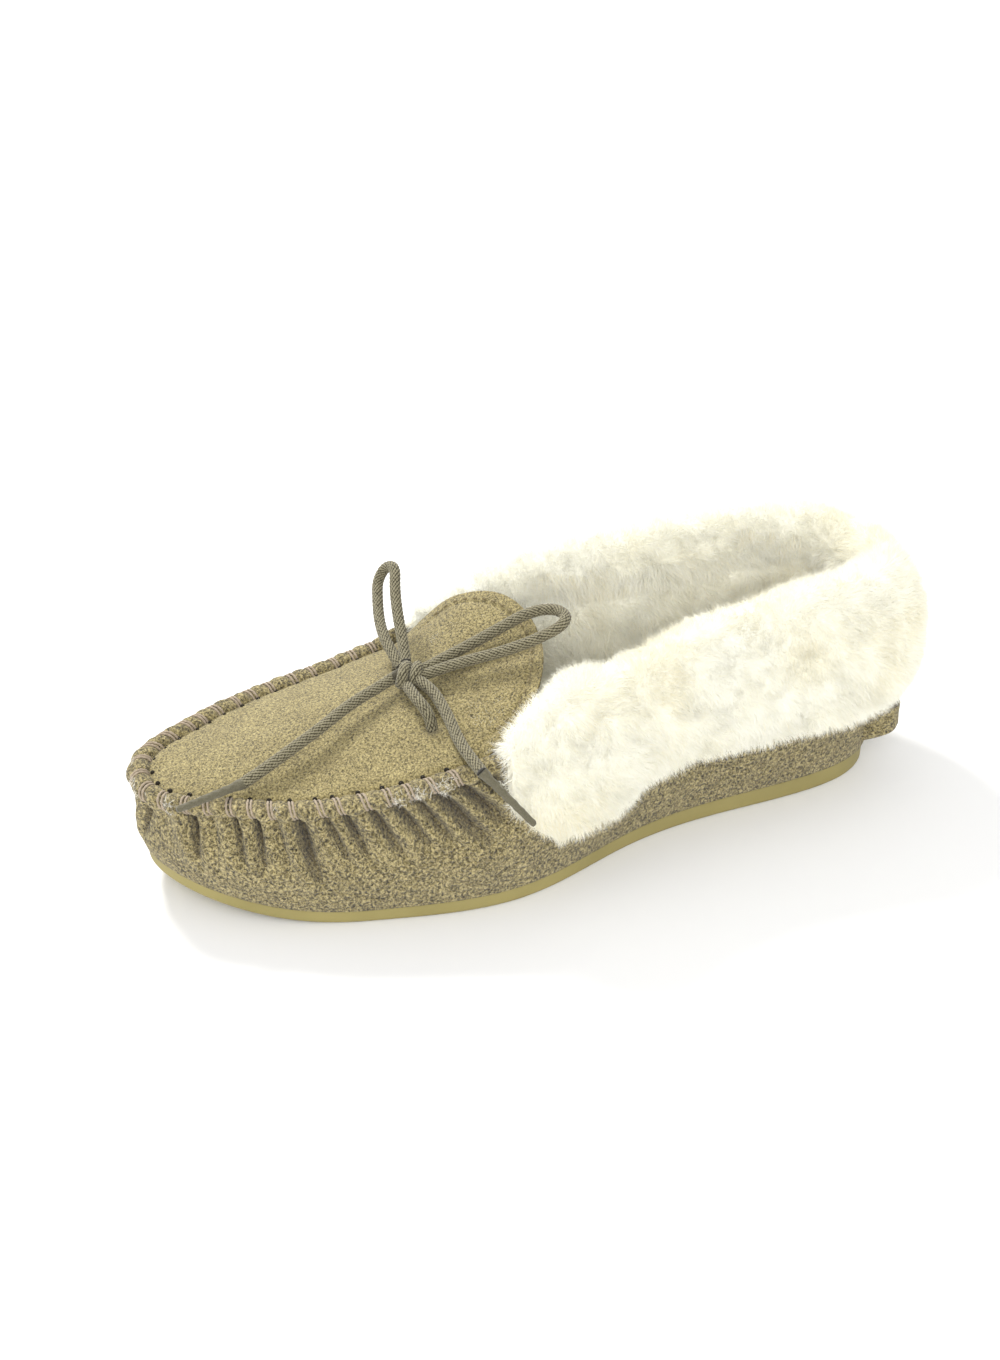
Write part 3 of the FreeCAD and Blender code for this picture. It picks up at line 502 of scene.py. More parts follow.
STITCHES = 31
LEAN = 2.4
BEAD_DEPTH = 2.4
# Fold depths beyond which the wrap's faces take the painted crease shade, then the darker painted
# fold shade.
CREASE_SHADE_DEPTH, FOLD_SHADE_DEPTH = 1.1, 2.6
WRAP_ROWS = 1300
PROFILE_POINTS = 20
SEAM_FIRST = share_at(-34, True)
SEAM_LAST = share_at(-42, False)
PITCH = (SEAM_LAST - SEAM_FIRST) * EDGE_LENGTH / (STITCHES - 1)
chance = np.random.default_rng(7)
STITCH_AT = np.linspace(SEAM_FIRST, SEAM_LAST, STITCHES) * EDGE_LENGTH
STITCH_AT[1:-1] += chance.uniform(-0.9, 0.9, STITCHES - 2)
# The gathers are widest, longest and most slanted at the end of the outer side.
ORDER = np.arange(STITCHES)
FORWARD = smoothstep(ORDER, 0, 11)
STRONG = np.where(chance.random(STITCHES) < 0.72, chance.uniform(0.75, 1.15, STITCHES),
                  chance.uniform(0.1, 0.4, STITCHES))
GATHER_DEPTH = (4.3 - 0.5 * FORWARD - 1.2 * smoothstep(ORDER, 12, 22)) * STRONG
GATHER_REACH = (31 - 6 * FORWARD - 7 * smoothstep(ORDER, 12, 20)) * chance.uniform(
    0.7, 1.15, STITCHES)
GATHER_WIDTH = (1.15 + 0.65 * (1 - FORWARD)) * chance.uniform(0.8, 1.2, STITCHES)
GATHER_SLANT = 0.85 - 0.57 * FORWARD + chance.uniform(-0.08, 0.08, STITCHES)
# The section over the rolled edge: outward offset and height from the wall's top.
BEAD_CENTRE = np.array([-1.7, -0.2])
BEAD = np.array([(0.1, -2.6), (1.0, -1.7), (1.2, -0.2), (0.3, 1.2), (-1.6, 1.8), (-3.5, 1.1),
                 (-4.5, -0.5), (-4.7, -2.0), (-4.6, -3.6)])
REAR_RIM = np.array([(0.0, -2.6), (0.0, -1.6), (0.0, -0.6), (-0.2, 0.0), (-0.8, 0.2),
                     (-1.4, 0.0), (-1.6, -0.8), (-1.6, -2.0), (-1.6, -3.6)])
# Shares of the wall's height where its section has points.
WALL_RISES = np.concatenate([[0.0], np.linspace(0.015, 0.94, 34)])


def side_turn(share):
    """+1 where the way round runs towards the toe, -1 where it runs back to the heel."""
    return np.where(np.asarray(share) % 1.0 < 0.47, 1.0, -1.0)


def gathers(share, depth):
    """Folds that run down from each stitch's outer hole, and the fuller cloth between them."""
    walked = (share * EDGE_LENGTH)[..., None]
    down = depth[..., None]
    slant = GATHER_SLANT * side_turn(STITCH_AT / EDGE_LENGTH)
    across = walked - (STITCH_AT - LEAN) + slant * down
    width = GATHER_WIDTH * (0.85 + 0.035 * np.maximum(down, 0))
    fade = smoothstep(GATHER_REACH - down, 0, GATHER_REACH * 0.9) * smoothstep(down, -1.6, 0.8)
    fold = GATHER_DEPTH * np.exp(-np.abs(across / width) ** 1.7) * fade
    full = 0.55 * GATHER_DEPTH * np.exp(-((across - PITCH / 2) / (0.42 * PITCH)) ** 2) * fade
    return full.sum(-1), fold.sum(-1)


def seam_profile(share, count):
    """Offsets and heights over the rolled bead, drawn in at each stitch."""
    share = np.asarray(share, float)
    offset, top, back = wall_top(share)
    lean = np.linspace(-LEAN, LEAN, len(BEAD))[:, None]
    away = np.abs((share * EDGE_LENGTH)[..., None, None] - STITCH_AT - lean).min(-1)
    pinch = 0.34 - 0.5 * np.exp(-(away / 1.8) ** 2)
    bead = BEAD_CENTRE + (BEAD - BEAD_CENTRE) * (1 + pinch)[..., None]
    section = bead + (REAR_RIM - bead) * back[..., None, None]
    section = section + np.stack([offset, top], -1)[..., None, :]
    return curve_through(section, count)


def wrap_section(share):
    """The wrap's outer line at each share, from the sole's rim to inside the bead.

    The second array tells how deep each point lies in a fold, which picks the painted crease shade
    of its faces.
    """
    foot = sole_top(edge_at(share)[0][..., 1]) + 0.2
    _, top, back = wall_top(share)
    heights = foot[:, None] + WALL_RISES * (top - foot)[:, None]
    spread = np.broadcast_to(share[:, None], heights.shape)
    offsets = wall_offset(spread, heights)
    full, fold = gathers(spread, top[:, None] - BEAD_DEPTH - heights)
    offsets = offsets + (full - fold) * (1 - back)[:, None]
    inside = np.stack([offsets[:, :1] - 4, foot[:, None] - 0.1], -1)
    wall = np.stack([offsets, heights], -1)
    section = np.concatenate([inside, wall, seam_profile(share, PROFILE_POINTS)], 1)
    sunk = np.zeros(section.shape[:2])
    sunk[:, 1:1 + len(WALL_RISES)] = fold * (1 - back)[:, None]
    return section, sunk


def build_wrap():
    """The suede wall round the foot, gathered into the toe seam."""
    share = np.linspace(0, 1, WRAP_ROWS, endpoint=False)
    section, sunk = wrap_section(share)
    spread = np.broadcast_to(share[:, None], section.shape[:2])
    points = place(spread, section[..., 0], section[..., 1])
    uneven = (0.7 * lumps(points, 17, 11) + 0.3 * lumps(points, 6, 12)
              + 0.12 * lumps(points, 2.2, 13))
    hold = smoothstep(section[..., 1] - sole_top(points[..., 1]), 0, 6)
    points[..., :2] += edge_at(spread)[1] * (uneven * hold)[..., None]
    rows, columns = section.shape[:2]
    faces = grid_faces(rows, columns, close_rows=True)
    # Faces deep in a fold get a darker suede: painted shade.
    shades = np.digitize(sunk.ravel()[faces].mean(1), (CREASE_SHADE_DEPTH, FOLD_SHADE_DEPTH))
    piece = new_piece("suede_wrap", points, faces, [SUEDE, SUEDE_CREASE_SHADE, SUEDE_FOLD_SHADE], shades)
    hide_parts("vamp")
    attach(piece, "root")


# ---------------- apron and tongue

HALF_POINTS = 361
OUTER_APRON_END, INNER_APRON_END = -36, -44
SEAM_INSET = 3.4
TONGUE_CENTRE = (2, -28)
TONGUE_HALF, TONGUE_LENGTH = 33.2, 27.9
BRIDGE_PULL = 13
# The line that the sheet's rows start from, along the middle of the foot.
SPINE_TOE, SPINE_RUN = (-4, -119), (6, 107)
LACE_HOLES = ((18, -40), (-16, -40))
HOLE_DENT, HOLE_REACH = 1.6, 2.4
STITCHED_IN = 4.2
# The cut edge, turning under: how far in and how far down.
RIM = ((-0.25, 0.35), (-0.3, 0.9), (0.0, 1.5), (0.9, 1.75), (3.0, 1.75))
CUT_COLUMNS = 3


def plan_half(outer):
    """Half of the apron and tongue's plan, from the toe tip to the back of the tongue."""
    toe = EDGE_SHARES[np.argmin(EDGE_POINTS[:, 1])]
    end = share_at(OUTER_APRON_END if outer else INNER_APRON_END, outer)
    point, normal = edge_at(np.linspace(toe, end, 200))
    ridge = point + normal * (ridge_offset(point[:, 1]) - SEAM_INSET)[:, None]
    angle = np.radians(np.linspace(12, 90, 80))
    side = 1 if outer else -1
    lobe = np.stack([TONGUE_CENTRE[0] + side * TONGUE_HALF * np.cos(angle),
                     TONGUE_CENTRE[1] + TONGUE_LENGTH * np.sin(angle)], -1)
    # A smooth bridge leads from the end of the seam into the tongue's round lobe.
    first, last = ridge[-1], lobe[0]
    leave = unit(ridge[-1] - ridge[-2]) * BRIDGE_PULL
    arrive = unit(lobe[1] - lobe[0]) * BRIDGE_PULL
    t = np.linspace(0, 1, 24)[1:-1, None]
    bridge = ((2 * t ** 3 - 3 * t ** 2 + 1) * first + (t ** 3 - 2 * t ** 2 + t) * leave
              + (3 * t ** 2 - 2 * t ** 3) * last + (t ** 3 - t ** 2) * arrive)
    return resample(np.vstack([ridge, bridge, lobe]), HALF_POINTS)[0]


def build_apron():
    """One sheet of fine suede from the toe seam to the tongue's edge."""
    plan = np.vstack([plan_half(True), plan_half(False)[::-1][1:-1]])
    count = len(plan)
    share = np.concatenate([np.linspace(0, 1, HALF_POINTS), np.linspace(1, 0, HALF_POINTS)[1:-1]])
    spine = np.array(SPINE_TOE) + np.array(SPINE_RUN) * share[:, None]
    along = unit(np.roll(plan, -1, axis=0) - np.roll(plan, 1, axis=0))
    outward = np.stack([-along[:, 1], along[:, 0]], -1)
    outward *= np.sign(((plan - spine) * outward).sum(-1))[:, None]
    reach = np.linspace(0, 1, 72) ** 0.9
    top = spine[:, None] + (plan - spine)[:, None] * reach[None, :, None]
    x, y = top[..., 0], top[..., 1]
    from_edge = np.min(np.linalg.norm(top[..., None, :] - plan[::3], axis=-1), axis=-1)
    flat = np.stack([x, y, 0 * x], -1)
    # The free edge has a stitched groove and a lip; the sewn edge is tucked and puckered.
    free = smoothstep(y, -34, -24)
    groove = 0.45 * np.exp(-((from_edge - STITCHED_IN) / 0.7) ** 2) * free
    lip = 0.5 * np.exp(-from_edge / 2.5) * free
    tuck = 0.9 * np.exp(-(from_edge / 1.8) ** 2) * (1 - free)
    pull = 0.4 * lumps(flat, 5, 21) * np.exp(-from_edge / 5) * (1 - free)
    dents = 0.5 * lumps(flat, 24, 22) + 0.12 * lumps(flat, 5, 23)
    for hole_x, hole_y in LACE_HOLES:
        away = np.hypot(x - hole_x, y - hole_y)
        dents = dents - HOLE_DENT * np.exp(-(away / HOLE_REACH) ** 2)
    level = apron_height(x, y) + 0.8 + lip - groove - tuck + pull + dents * (
        1 - 0.8 * np.exp(-from_edge / 3))
    sheet = np.stack([x, y, level], -1)
    rim = [np.column_stack([plan - outward * inset, level[:, -1] - drop]) for inset, drop in RIM]
    under = spine[:, None] + (plan - spine)[:, None] * np.array([0.8, 0.4, 0.0])[None, :, None]
    under_level = apron_height(under[..., 0], under[..., 1]) - 0.9
    points = np.concatenate([sheet, np.stack(rim, 1),
                             np.concatenate([under, under_level[..., None]], -1)], 1)
    columns = points.shape[1]
    faces = grid_faces(count, columns, close_rows=True)[:, ::-1]
    column = (faces % columns).min(-1)
    shades = np.where((column >= len(reach)) & (column < len(reach) + CUT_COLUMNS), 1, 0)
    piece = new_piece("apron_and_tongue", points, faces, [SUEDE_FINE, SUEDE_EDGE], shades)
    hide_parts("apron", "tongue")
    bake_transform(piece)


# ---------------- tubes: lace and thread

def even_line(line, step):
    """The same line with points about a step apart, and the distance walked to each."""
    return resample(line, max(int(distance_along(line)[-1] / step), 4) + 1)


def frames(line):
    """Two directions across the line at each point, carried along without twist."""
    along = unit(np.gradient(line, axis=0))
    first = [unit(np.cross(along[0], (0.3, 0.2, 0.93)))]
    for direction in along[1:]:
        carried = first[-1] - direction * np.dot(first[-1], direction)
        first.append(unit(carried))
    first = np.array(first)
    return first, np.cross(along, first)


def tube_points(line, radius, around, relief=None):
    """Rings of points round a line; relief adds height by angle and distance along."""
    first, second = frames(line)
    walked = distance_along(line)
    angle = np.linspace(0, 2 * np.pi, around, endpoint=False)
    size = np.broadcast_to(np.asarray(radius, float).reshape(-1, 1), (len(line), around))
    if relief is not None:
        size = size + relief(angle[None, :], walked[:, None])
    ring = (np.cos(angle)[None, :, None] * first[:, None]
            + np.sin(angle)[None, :, None] * second[:, None])
    return line[:, None] + ring * size[..., None]


def capped_tube(line, radius, around, relief=None, start=0):
    """Points and triangles of a tube with closed ends."""
    rings = tube_points(line, radius, around, relief)
    count = len(line)
    points = np.vstack([rings.reshape(-1, 3), line[:1], line[-1:]])
    faces = grid_faces(count, around, close_columns=True)
    ring = np.arange(around)
    ahead = (ring + 1) % around
    tail = (count - 1) * around
    ends = [np.stack([ring, ahead, np.full(around, count * around)], -1),
            np.stack([tail + ahead, tail + ring, np.full(around, count * around + 1)], -1)]
    return points, np.vstack([faces[:, ::-1], *ends]) + start


BRAID_WAVES = 5
BRAID_LAY = 1.6


def braid(angle, along):
    """Relief of a round braid: two families of strands that pass over and under."""
    first = BRAID_WAVES * angle + along * np.pi / BRAID_LAY
    second = BRAID_WAVES * angle - along * np.pi / BRAID_LAY
    over = (np.floor(first / np.pi) + np.floor(second / np.pi)) % 2 == 0
    a, b = np.abs(np.sin(first)), np.abs(np.sin(second))
    height = np.where(over, a ** 0.6 * (0.5 + 0.5 * b), b ** 0.6 * (0.5 + 0.5 * a))
    return 0.40 * height - 0.30


def gap_shades(points, faces, line):
    """1 on faces in the gaps between a braid's strands, which take painted shade, 0 on the strands.
    """
    rows = np.minimum(np.arange(len(points)) // LACE_AROUND, len(line) - 1)
    size = np.linalg.norm(points - line[rows], axis=1)
    return (size[faces].mean(1) < LACE_RADIUS - GAP_DEPTH).astype(int)


def spline_line(name, route):
    """Points in millimetres along the smooth line that a route of control points makes."""
    curve = bpy.data.curves.new(name + "_line", "CURVE")
    curve.dimensions = "3D"
    curve.resolution_u = 24
    spline = curve.splines.new("NURBS")
    spline.points.add(len(route) - 1)
    for point, spot in zip(spline.points, route):
        point.co = (*(value * MM for value in spot), 1)
    spline.order_u = 3
    spline.use_endpoint_u = True
    holder = bpy.data.objects.new(name + "_line", curve)
    mesh = bpy.data.meshes.new_from_object(holder)
    line = np.array([vertex.co for vertex in mesh.vertices], float) / MM
    bpy.data.objects.remove(holder)
    bpy.data.curves.remove(curve)
    bpy.data.meshes.remove(mesh)
    return line


LACE_RADIUS = 1.8
LACE_AROUND = 48
LINE_STEP = 0.3
GAP_DEPTH = 0.07
# Routes of the lace, as in the CAD. The near loop also runs on into the knot.
LACE_FRONT = [(-4.5, -44, 60), (-2.6, -50.2, 58.3), (-0.6, -57.5, 56.7), (2.3, -65, 54.8),
              (6.2, -72.6, 52.7), (9.5, -83, 49.3), (12.4, -93.7, 45.3), (13.3, -99.4, 43.2)]
LACE_SIDE = [(3, -39.5, 61.5), (8, -37, 60.8), (15, -36.2, 59.1), (22.7, -35.9, 57),
             (30.2, -36.1, 54.8), (38.5, -35.8, 53.8), (46.5, -34.4, 52.3)]
LACE_LOOP_FAR = [(-6, -42, 62), (-12, -43, 64), (-20, -43.2, 66), (-28.6, -42, 68),
                 (-36, -40, 72), (-41.2, -38.2, 75), (-41.3, -35.4, 79.7),
                 (-36.3, -33.4, 82), (-29.5, -36, 77.5), (-21.5, -37.8, 72.2),
                 (-13, -39, 67.2), (-6, -40.4, 63.5)]
LACE_LOOP_NEAR = [(-1, -37.5, 62), (-2, -29.5, 64.5), (-1, -20, 68.5), (0, -10.5, 73),
                  (1.5, -2, 77.5), (5, 5, 79.5), (11, 7.5, 79.5), (15.5, 4, 78.5),
                  (14.5, -4, 75), (10.5, -13, 70.5), (6, -22, 67), (3, -29, 64.5),
                  (1, -37.5, 61.5)]
LACE_BRIDGE = [(3, -43, 60), (10, -43, 60), (16.5, -41, 58), (18.6, -40, 52),
               (13.5, -40, 47.5), (5.5, -40, 50.2), (-4, -40, 50.4), (-12, -40, 48.5),
               (-17.5, -40, 52.5), (-16, -40, 58.5), (-11, -40.5, 61.3), (-6, -41, 61.5)]
AGLET_FRONT = [(13.3, -99.4, 43.2), (16.6, -110.3, 42.9), (20.9, -121.3, 43.6)]
AGLET_SIDE = [(46.5, -34.4, 52.3), (52.6, -28.3, 45.2), (58.7, -22.2, 38)]


def braided(name, route, node):
    """A length of round braided lace along a route, and the line that it follows."""
    line, walked = even_line(spline_line(name, route), LINE_STEP)
    points, faces = capped_tube(line, LACE_RADIUS, LACE_AROUND, braid)
    piece = new_piece(name, points, faces, [LACE, LACE_GAP_SHADE], gap_shades(points, faces, line))
    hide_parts(node)
    return piece, line, walked[-1]


def wrinkles(angle, along):
    """Relief of the strands that show through an aglet's film."""
    return 0.07 * np.sin(3 * angle + along * 1.6) + 0.05 * np.sin(5 * angle - along * 2.3)


def aglet(name, route, node):
    """The lace's end, shrunk into a tapering film-covered tip."""
    line, walked = even_line(spline_line(name, route), LINE_STEP)
    share = walked / walked[-1]
    radius = 1.75 - 0.4 * smoothstep(share, 0, 0.2) - 0.35 * share
    radius = radius * np.sqrt(np.clip((1.02 - share) / 0.05, 0.15, 1))
    points, faces = capped_tube(line, radius, 32, wrinkles)
    piece = new_piece(name, points, faces, [AGLET])
    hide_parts(node)
    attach(piece, "root")
    return piece


KNOT_CENTRE = np.array([-1.5, -41.0, 61.3])
KNOT_AXIS = (0.36, 0.93, 0.05)
TURN_PITCH, TURN_WIDE, TURN_TALL = 0.62, 3.1, 2.6
CORE_HALF, CORE_RADIUS, CORE_POINTS = 5.2, 2.6, 20


def build_knot():
    """Two turns of lace drawn tight round the strands that pass through them."""
    axis = unit(KNOT_AXIS)
    across = unit(np.cross(axis, (0, 0, 1)))
    up = np.cross(across, axis)
    turn = np.linspace(-0.6 * np.pi, 2.6 * np.pi, 160)[:, None]
    helix = (KNOT_CENTRE + axis * (turn - np.pi) * TURN_PITCH
             + across * np.cos(turn) * TURN_WIDE + up * np.sin(turn) * TURN_TALL)
    line = even_line(helix, LINE_STEP)[0]
    points, faces = capped_tube(line, LACE_RADIUS, LACE_AROUND, braid)
    shades = gap_shades(points, faces, line)
    core_line = KNOT_CENTRE + axis * np.linspace(-CORE_HALF, CORE_HALF, CORE_POINTS)[:, None]
    core_size = CORE_RADIUS * np.sqrt(1 - np.linspace(-0.98, 0.98, CORE_POINTS) ** 2)
    core, core_faces = capped_tube(core_line, core_size, 32, braid, len(points))
    # The strands held inside the knot are all given the painted gap shade.
    shades = np.concatenate([shades, np.ones(len(core_faces), int)])
    piece = new_piece("lace_knot_turns", np.vstack([points, core]),
                      np.vstack([faces, core_faces]), [LACE, LACE_GAP_SHADE], shades)
    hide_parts("lace_knot")
    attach(piece, "root")
    return piece


def build_lace():
    """The bow: its knot, two loops, two tipped ends and the leg under the apron."""
    knot = build_knot()
    front_tip = aglet("aglet_front_tip", AGLET_FRONT, "aglet_front")
    side_tip = aglet("aglet_side_tip", AGLET_SIDE, "aglet_side")
    runs = (("lace_front_end", LACE_FRONT, "lace_end_front", "fitting", [front_tip, knot]),
            ("lace_side_end", LACE_SIDE, "lace_end_side", "fitting", [side_tip]),
            ("lace_far_loop", LACE_LOOP_FAR, "lace_loop_far", "object", []),
            ("lace_near_loop", LACE_LOOP_NEAR, "lace_loop_near", "object", []))
    for name, route, node, far_end, with_pieces in runs:
        piece, line, length = braided(name, route, node)
        if node == "lace_loop_near":
            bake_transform(piece)
        else:
            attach(piece, "root")
    bridge = braided("lace_bridge_leg", LACE_BRIDGE, "lace_bridge")[0]
    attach(bridge, "root")


# ---------------- whip stitches

STRAND_POINTS = 26
STRAND_RADIUS, STRAND_STEP = 0.36, 0.35
STRAND_LIFT, STRAND_SUNK = 0.3, 0.9
PAIR_HALF = 0.6
# Points along a strand beside which the suede has a hole, and how far in the apron's are.
OUTER_HOLE, APRON_HOLE = 1, 19
APRON_HOLE_INSET, APRON_HOLE_INSET_INNER = 4.9, 5.8
HOLE_PROFILE = np.array([0.6, 0.95, 1.0, 0.9, 0.5])


def strand_twist(angle, along):
    return 0.07 * np.sin(2 * angle + along * 3.2)


def stitch_strand(at, lean, start):
    """One strand of thread that leans over the bead, with its ends in the suede."""
    share = (at + np.linspace(-lean, lean, STRAND_POINTS)) / EDGE_LENGTH
    profile = np.stack([seam_profile(share[k:k + 1], STRAND_POINTS)[0, k]
                        for k in range(STRAND_POINTS)])
    bend = unit(np.gradient(profile, axis=0))
    outward = np.stack([-bend[:, 1], bend[:, 0]], -1)
    outward *= np.sign(((profile - profile.mean(0)) * outward).sum(-1).sum())
    lift = STRAND_LIFT * np.sin(np.linspace(0, np.pi, STRAND_POINTS)) ** 0.4 + 0.05
    lift[[0, -1]] = -STRAND_SUNK
    over = profile + outward * lift[:, None]
    line = even_line(place(share, over[:, 0], over[:, 1]), STRAND_STEP)[0]
    return capped_tube(line, STRAND_RADIUS, 10, strand_twist, start)


def stitch_hole_shade(at, lean, column, size, start):
    """A dark plug of painted shade in a hole in the wall below the bead, or in the apron beside it.
    """
    middle = np.array([at + np.linspace(-lean, lean, STRAND_POINTS)[column]]) / EDGE_LENGTH
    profile = seam_profile(middle, STRAND_POINTS)[0]
    height = profile[column:column + 1, 1]
    if column == APRON_HOLE:
        inset = APRON_HOLE_INSET if middle[0] < 0.45 else APRON_HOLE_INSET_INNER
        spot = place(middle, wall_top(middle)[0] - inset, height)[0]
        spot[2] = apron_height(spot[0], spot[1]) + 0.8
        out = np.array([0.0, 0.0, 1.0])
    else:
        spot = place(middle, profile[column:column + 1, 0], height)[0]
        out = unit(np.append(edge_at(middle)[1][0], -0.2))
    line = spot + out * np.linspace(-STRAND_SUNK, 0.22, len(HOLE_PROFILE))[:, None]
    return capped_tube(line, HOLE_PROFILE * size, 14, None, start)


def build_whip_stitches():
    """Pairs of thin strands that lean over the bead, each pair between two holes filled with painted
    shade.
    """
    points, faces, shades, start = [], [], [], 0
    dice = np.random.default_rng(19)
    for at in STITCH_AT:
        lean = LEAN + dice.uniform(-0.4, 0.4)
        sides = [half + dice.uniform(-0.15, 0.15) for half in (-PAIR_HALF, PAIR_HALF)]
        parts = [(0, stitch_strand, (at + side, lean)) for side in sides]
        parts += [(1, stitch_hole_shade, (at, lean, column, dice.uniform(0.6, 0.9)))
                  for column in (OUTER_HOLE, APRON_HOLE)]
        for shade, make, facts in parts:
            tube, tube_faces = make(*facts, start)
            points.append(tube)
            faces.append(tube_faces)
            shades.append(np.full(len(tube_faces), shade))
            start += len(tube)
    piece = new_piece("whip_stitch_strands", np.vstack(points), np.vstack(faces),
                      [THREAD, HOLE_SHADE], np.concatenate(shades))
    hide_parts("whip_stitches")
    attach(piece, "root")


# ---------------- fleece

FULLER_RISE = 8.5
LINING_TUCK = 2.0
FIBRE_WIDTH = 0.12
FIBRE_CURL = 0.7
FIBRES_A_PIECE = 65000
EDGE_STRIDE = 24
CREAM_FROM, YELLOW_FROM = 0.0, 0.9


def vertex_arrays(mesh):
    """A mesh's points in millimetres and its vertex normals."""
    spots = np.zeros(len(mesh.vertices) * 3, np.float32)
    normals = np.zeros(len(mesh.vertices) * 3, np.float32)
    mesh.vertices.foreach_get("co", spots)
    mesh.vertex_normals.foreach_get("vector", normals)
    return spots.reshape(-1, 3) / MM, normals.reshape(-1, 3)


def soft_copy(node, name, shrink, voxel, seed):
    """An uneven copy of a fleece solid, drawn in by shrink to leave room for its fibres.

    The collar's copy stands higher beside the outer edge of the tongue, and the quarter
    lining's is drawn in more where the wrap covers its front.
    """
    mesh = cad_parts[node].data.copy()
    piece = bpy.data.objects.new(name, mesh)
    bpy.context.collection.objects.link(piece)
    remesh = piece.modifiers.new("even", "REMESH")
    remesh.mode = "VOXEL"
    remesh.voxel_size = voxel * MM
    graph = bpy.context.evaluated_depsgraph_get()
    even = bpy.data.meshes.new_from_object(piece.evaluated_get(graph))
    piece.modifiers.clear()
    piece.data = even
    bpy.data.meshes.remove(mesh)
    spots, normals = vertex_arrays(even)
    swell = (lumps(spots, 21, seed) + 0.7 * lumps(spots, 9, seed + 1)
             + 0.45 * lumps(spots, 4, seed + 2))
    if node == "quarter_lining":
        shrink = shrink + LINING_TUCK * (1 - smoothstep(spots[:, 1], -34, -20))
    spots = spots + normals * (swell - shrink)[:, None]
    if node == "collar_cuff":
        y = spots[:, 1]
        beside = smoothstep(y, -29, -17) * (1 - smoothstep(y, -6, 16)) * (spots[:, 0] > 15)
        spots[:, 2] += FULLER_RISE * beside * smoothstep(spots[:, 2], 46, 60)
    even.vertices.foreach_set("co", (spots * MM).astype(np.float32).ravel())
    even.update()
    even.shade_smooth()
    even.materials.clear()
    even.materials.append(FLEECE)
    return piece


def sample_surface(piece, count, dice, weigh):
    """Random places and normals over a piece, in millimetres."""
    mesh = piece.data
    mesh.calc_loop_triangles()
    corners = np.zeros(len(mesh.loop_triangles) * 3, np.int32)
    mesh.loop_triangles.foreach_get("vertices", corners)
    corners = corners.reshape(-1, 3)
    spots, normals = vertex_arrays(mesh)
    a, b, c = (spots[corners[:, k]] for k in range(3))
    area = np.linalg.norm(np.cross(b - a, c - a), axis=1)
    middle = (a + b + c) / 3
    faced = normals[corners].mean(1)
    chance_of = area * weigh(middle, faced)
    picked = dice.choice(len(area), count, p=chance_of / chance_of.sum())
    u, v = dice.random(count), dice.random(count)
    fold = u + v > 1
    u[fold], v[fold] = 1 - u[fold], 1 - v[fold]
    share = np.stack([1 - u - v, u, v], -1)[..., None]
    where = (spots[corners[picked]] * share).sum(1)
    facing = unit((normals[corners[picked]] * share).sum(1))
    return where, facing


def fibres(where, facing, length, width, lean, curl, seed, dice):
    """Points and triangles of tapering, bent fibres, five points each."""
    count = len(where)
    sway = swirl(where, 7.0, seed) * 0.9 + swirl(where, 2.6, seed + 5) * 0.6
    direction = unit(facing + lean + sway * curl + dice.normal(0, 0.22, (count, 3)))
    bend = swirl(where, 3.4, seed + 11) * curl + dice.normal(0, 0.3, (count, 3))
    reach = (length * dice.uniform(0.55, 1.1, count))[:, None]
    root = where - facing * 0.6
    middle = root + direction * reach * 0.5
    tip = middle + unit(direction + bend * 0.8 + np.array([0, 0, -0.12])) * reach * 0.5
    flat = unit(np.cross(direction, facing + dice.normal(0, 0.45, (count, 3))))
    half = (width * dice.uniform(0.7, 1.2, count))[:, None] / 2
    points = np.stack([root - flat * half, root + flat * half, middle - flat * half * 0.8,
                       middle + flat * half * 0.8, tip], 1)
    pattern = np.array([(0, 1, 3), (0, 3, 2), (2, 3, 4)])
    faces = (np.arange(count) * 5)[:, None, None] + pattern
    return points.reshape(-1, 3), faces.reshape(-1, 3)


def grow_wool(name, base, count, length, seed, body, weigh, droop=0.0, yellow=0.0):
    """Wool fibres over a base, in patches of whiter and yellower wool."""
    dice = np.random.default_rng(seed)
    where, facing = sample_surface(base, count, dice, weigh)
    lean = np.array([0, 0, -droop])
    points, faces = fibres(where, facing, length, FIBRE_WIDTH, lean, FIBRE_CURL, seed, dice)
    tone = yellow + 0.8 * lumps(where, 16, seed + 3) + dice.normal(0, 0.6, count)
    shade = np.digitize(tone, (CREAM_FROM, YELLOW_FROM))
    for part, first in enumerate(range(0, count, FIBRES_A_PIECE)):
        last = min(first + FIBRES_A_PIECE, count)
        piece = new_piece("%s_%d" % (name, part + 1), points[first * 5:last * 5],
                          faces[first * 3:last * 3] - first * 5, WOOL,
                          np.repeat(shade[first:last], 3))
        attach(piece, body)


def everywhere(middle, faced):
    return np.ones(len(middle))


def beside_edge(middle, faced):
    """Distance out from the sole's edge in plan, and how squarely a face looks outwards."""
    point = middle[:, :2]
    edge, normals = EDGE_POINTS[::EDGE_STRIDE], EDGE_NORMALS[::EDGE_STRIDE]
    closest = np.argmin(np.linalg.norm(point[:, None] - edge[None], axis=-1), axis=1)
    normal = normals[closest]
    return ((point - edge[closest]) * normal).sum(-1), (faced[:, :2] * normal).sum(-1)


def collar_outside(middle, faced):
    """More wool where the collar faces out, up or into the opening than on its skin side."""
    out, squarely = beside_edge(middle, faced)
    skin = (out > -2) & (out < 5) & (squarely < 0) & (faced[:, 2] < 0.3)
    return np.where(skin, 0.03, 1.0)


def over_seam(middle, faced):
    """Wool on the collar's inner side, which hangs down over its seam with the lining."""
    out, squarely = beside_edge(middle, faced)
    inner = (out < -2) & (squarely < -0.1) & (faced[:, 2] < 0.35)
    return np.where(inner, 1.0, 0.0)


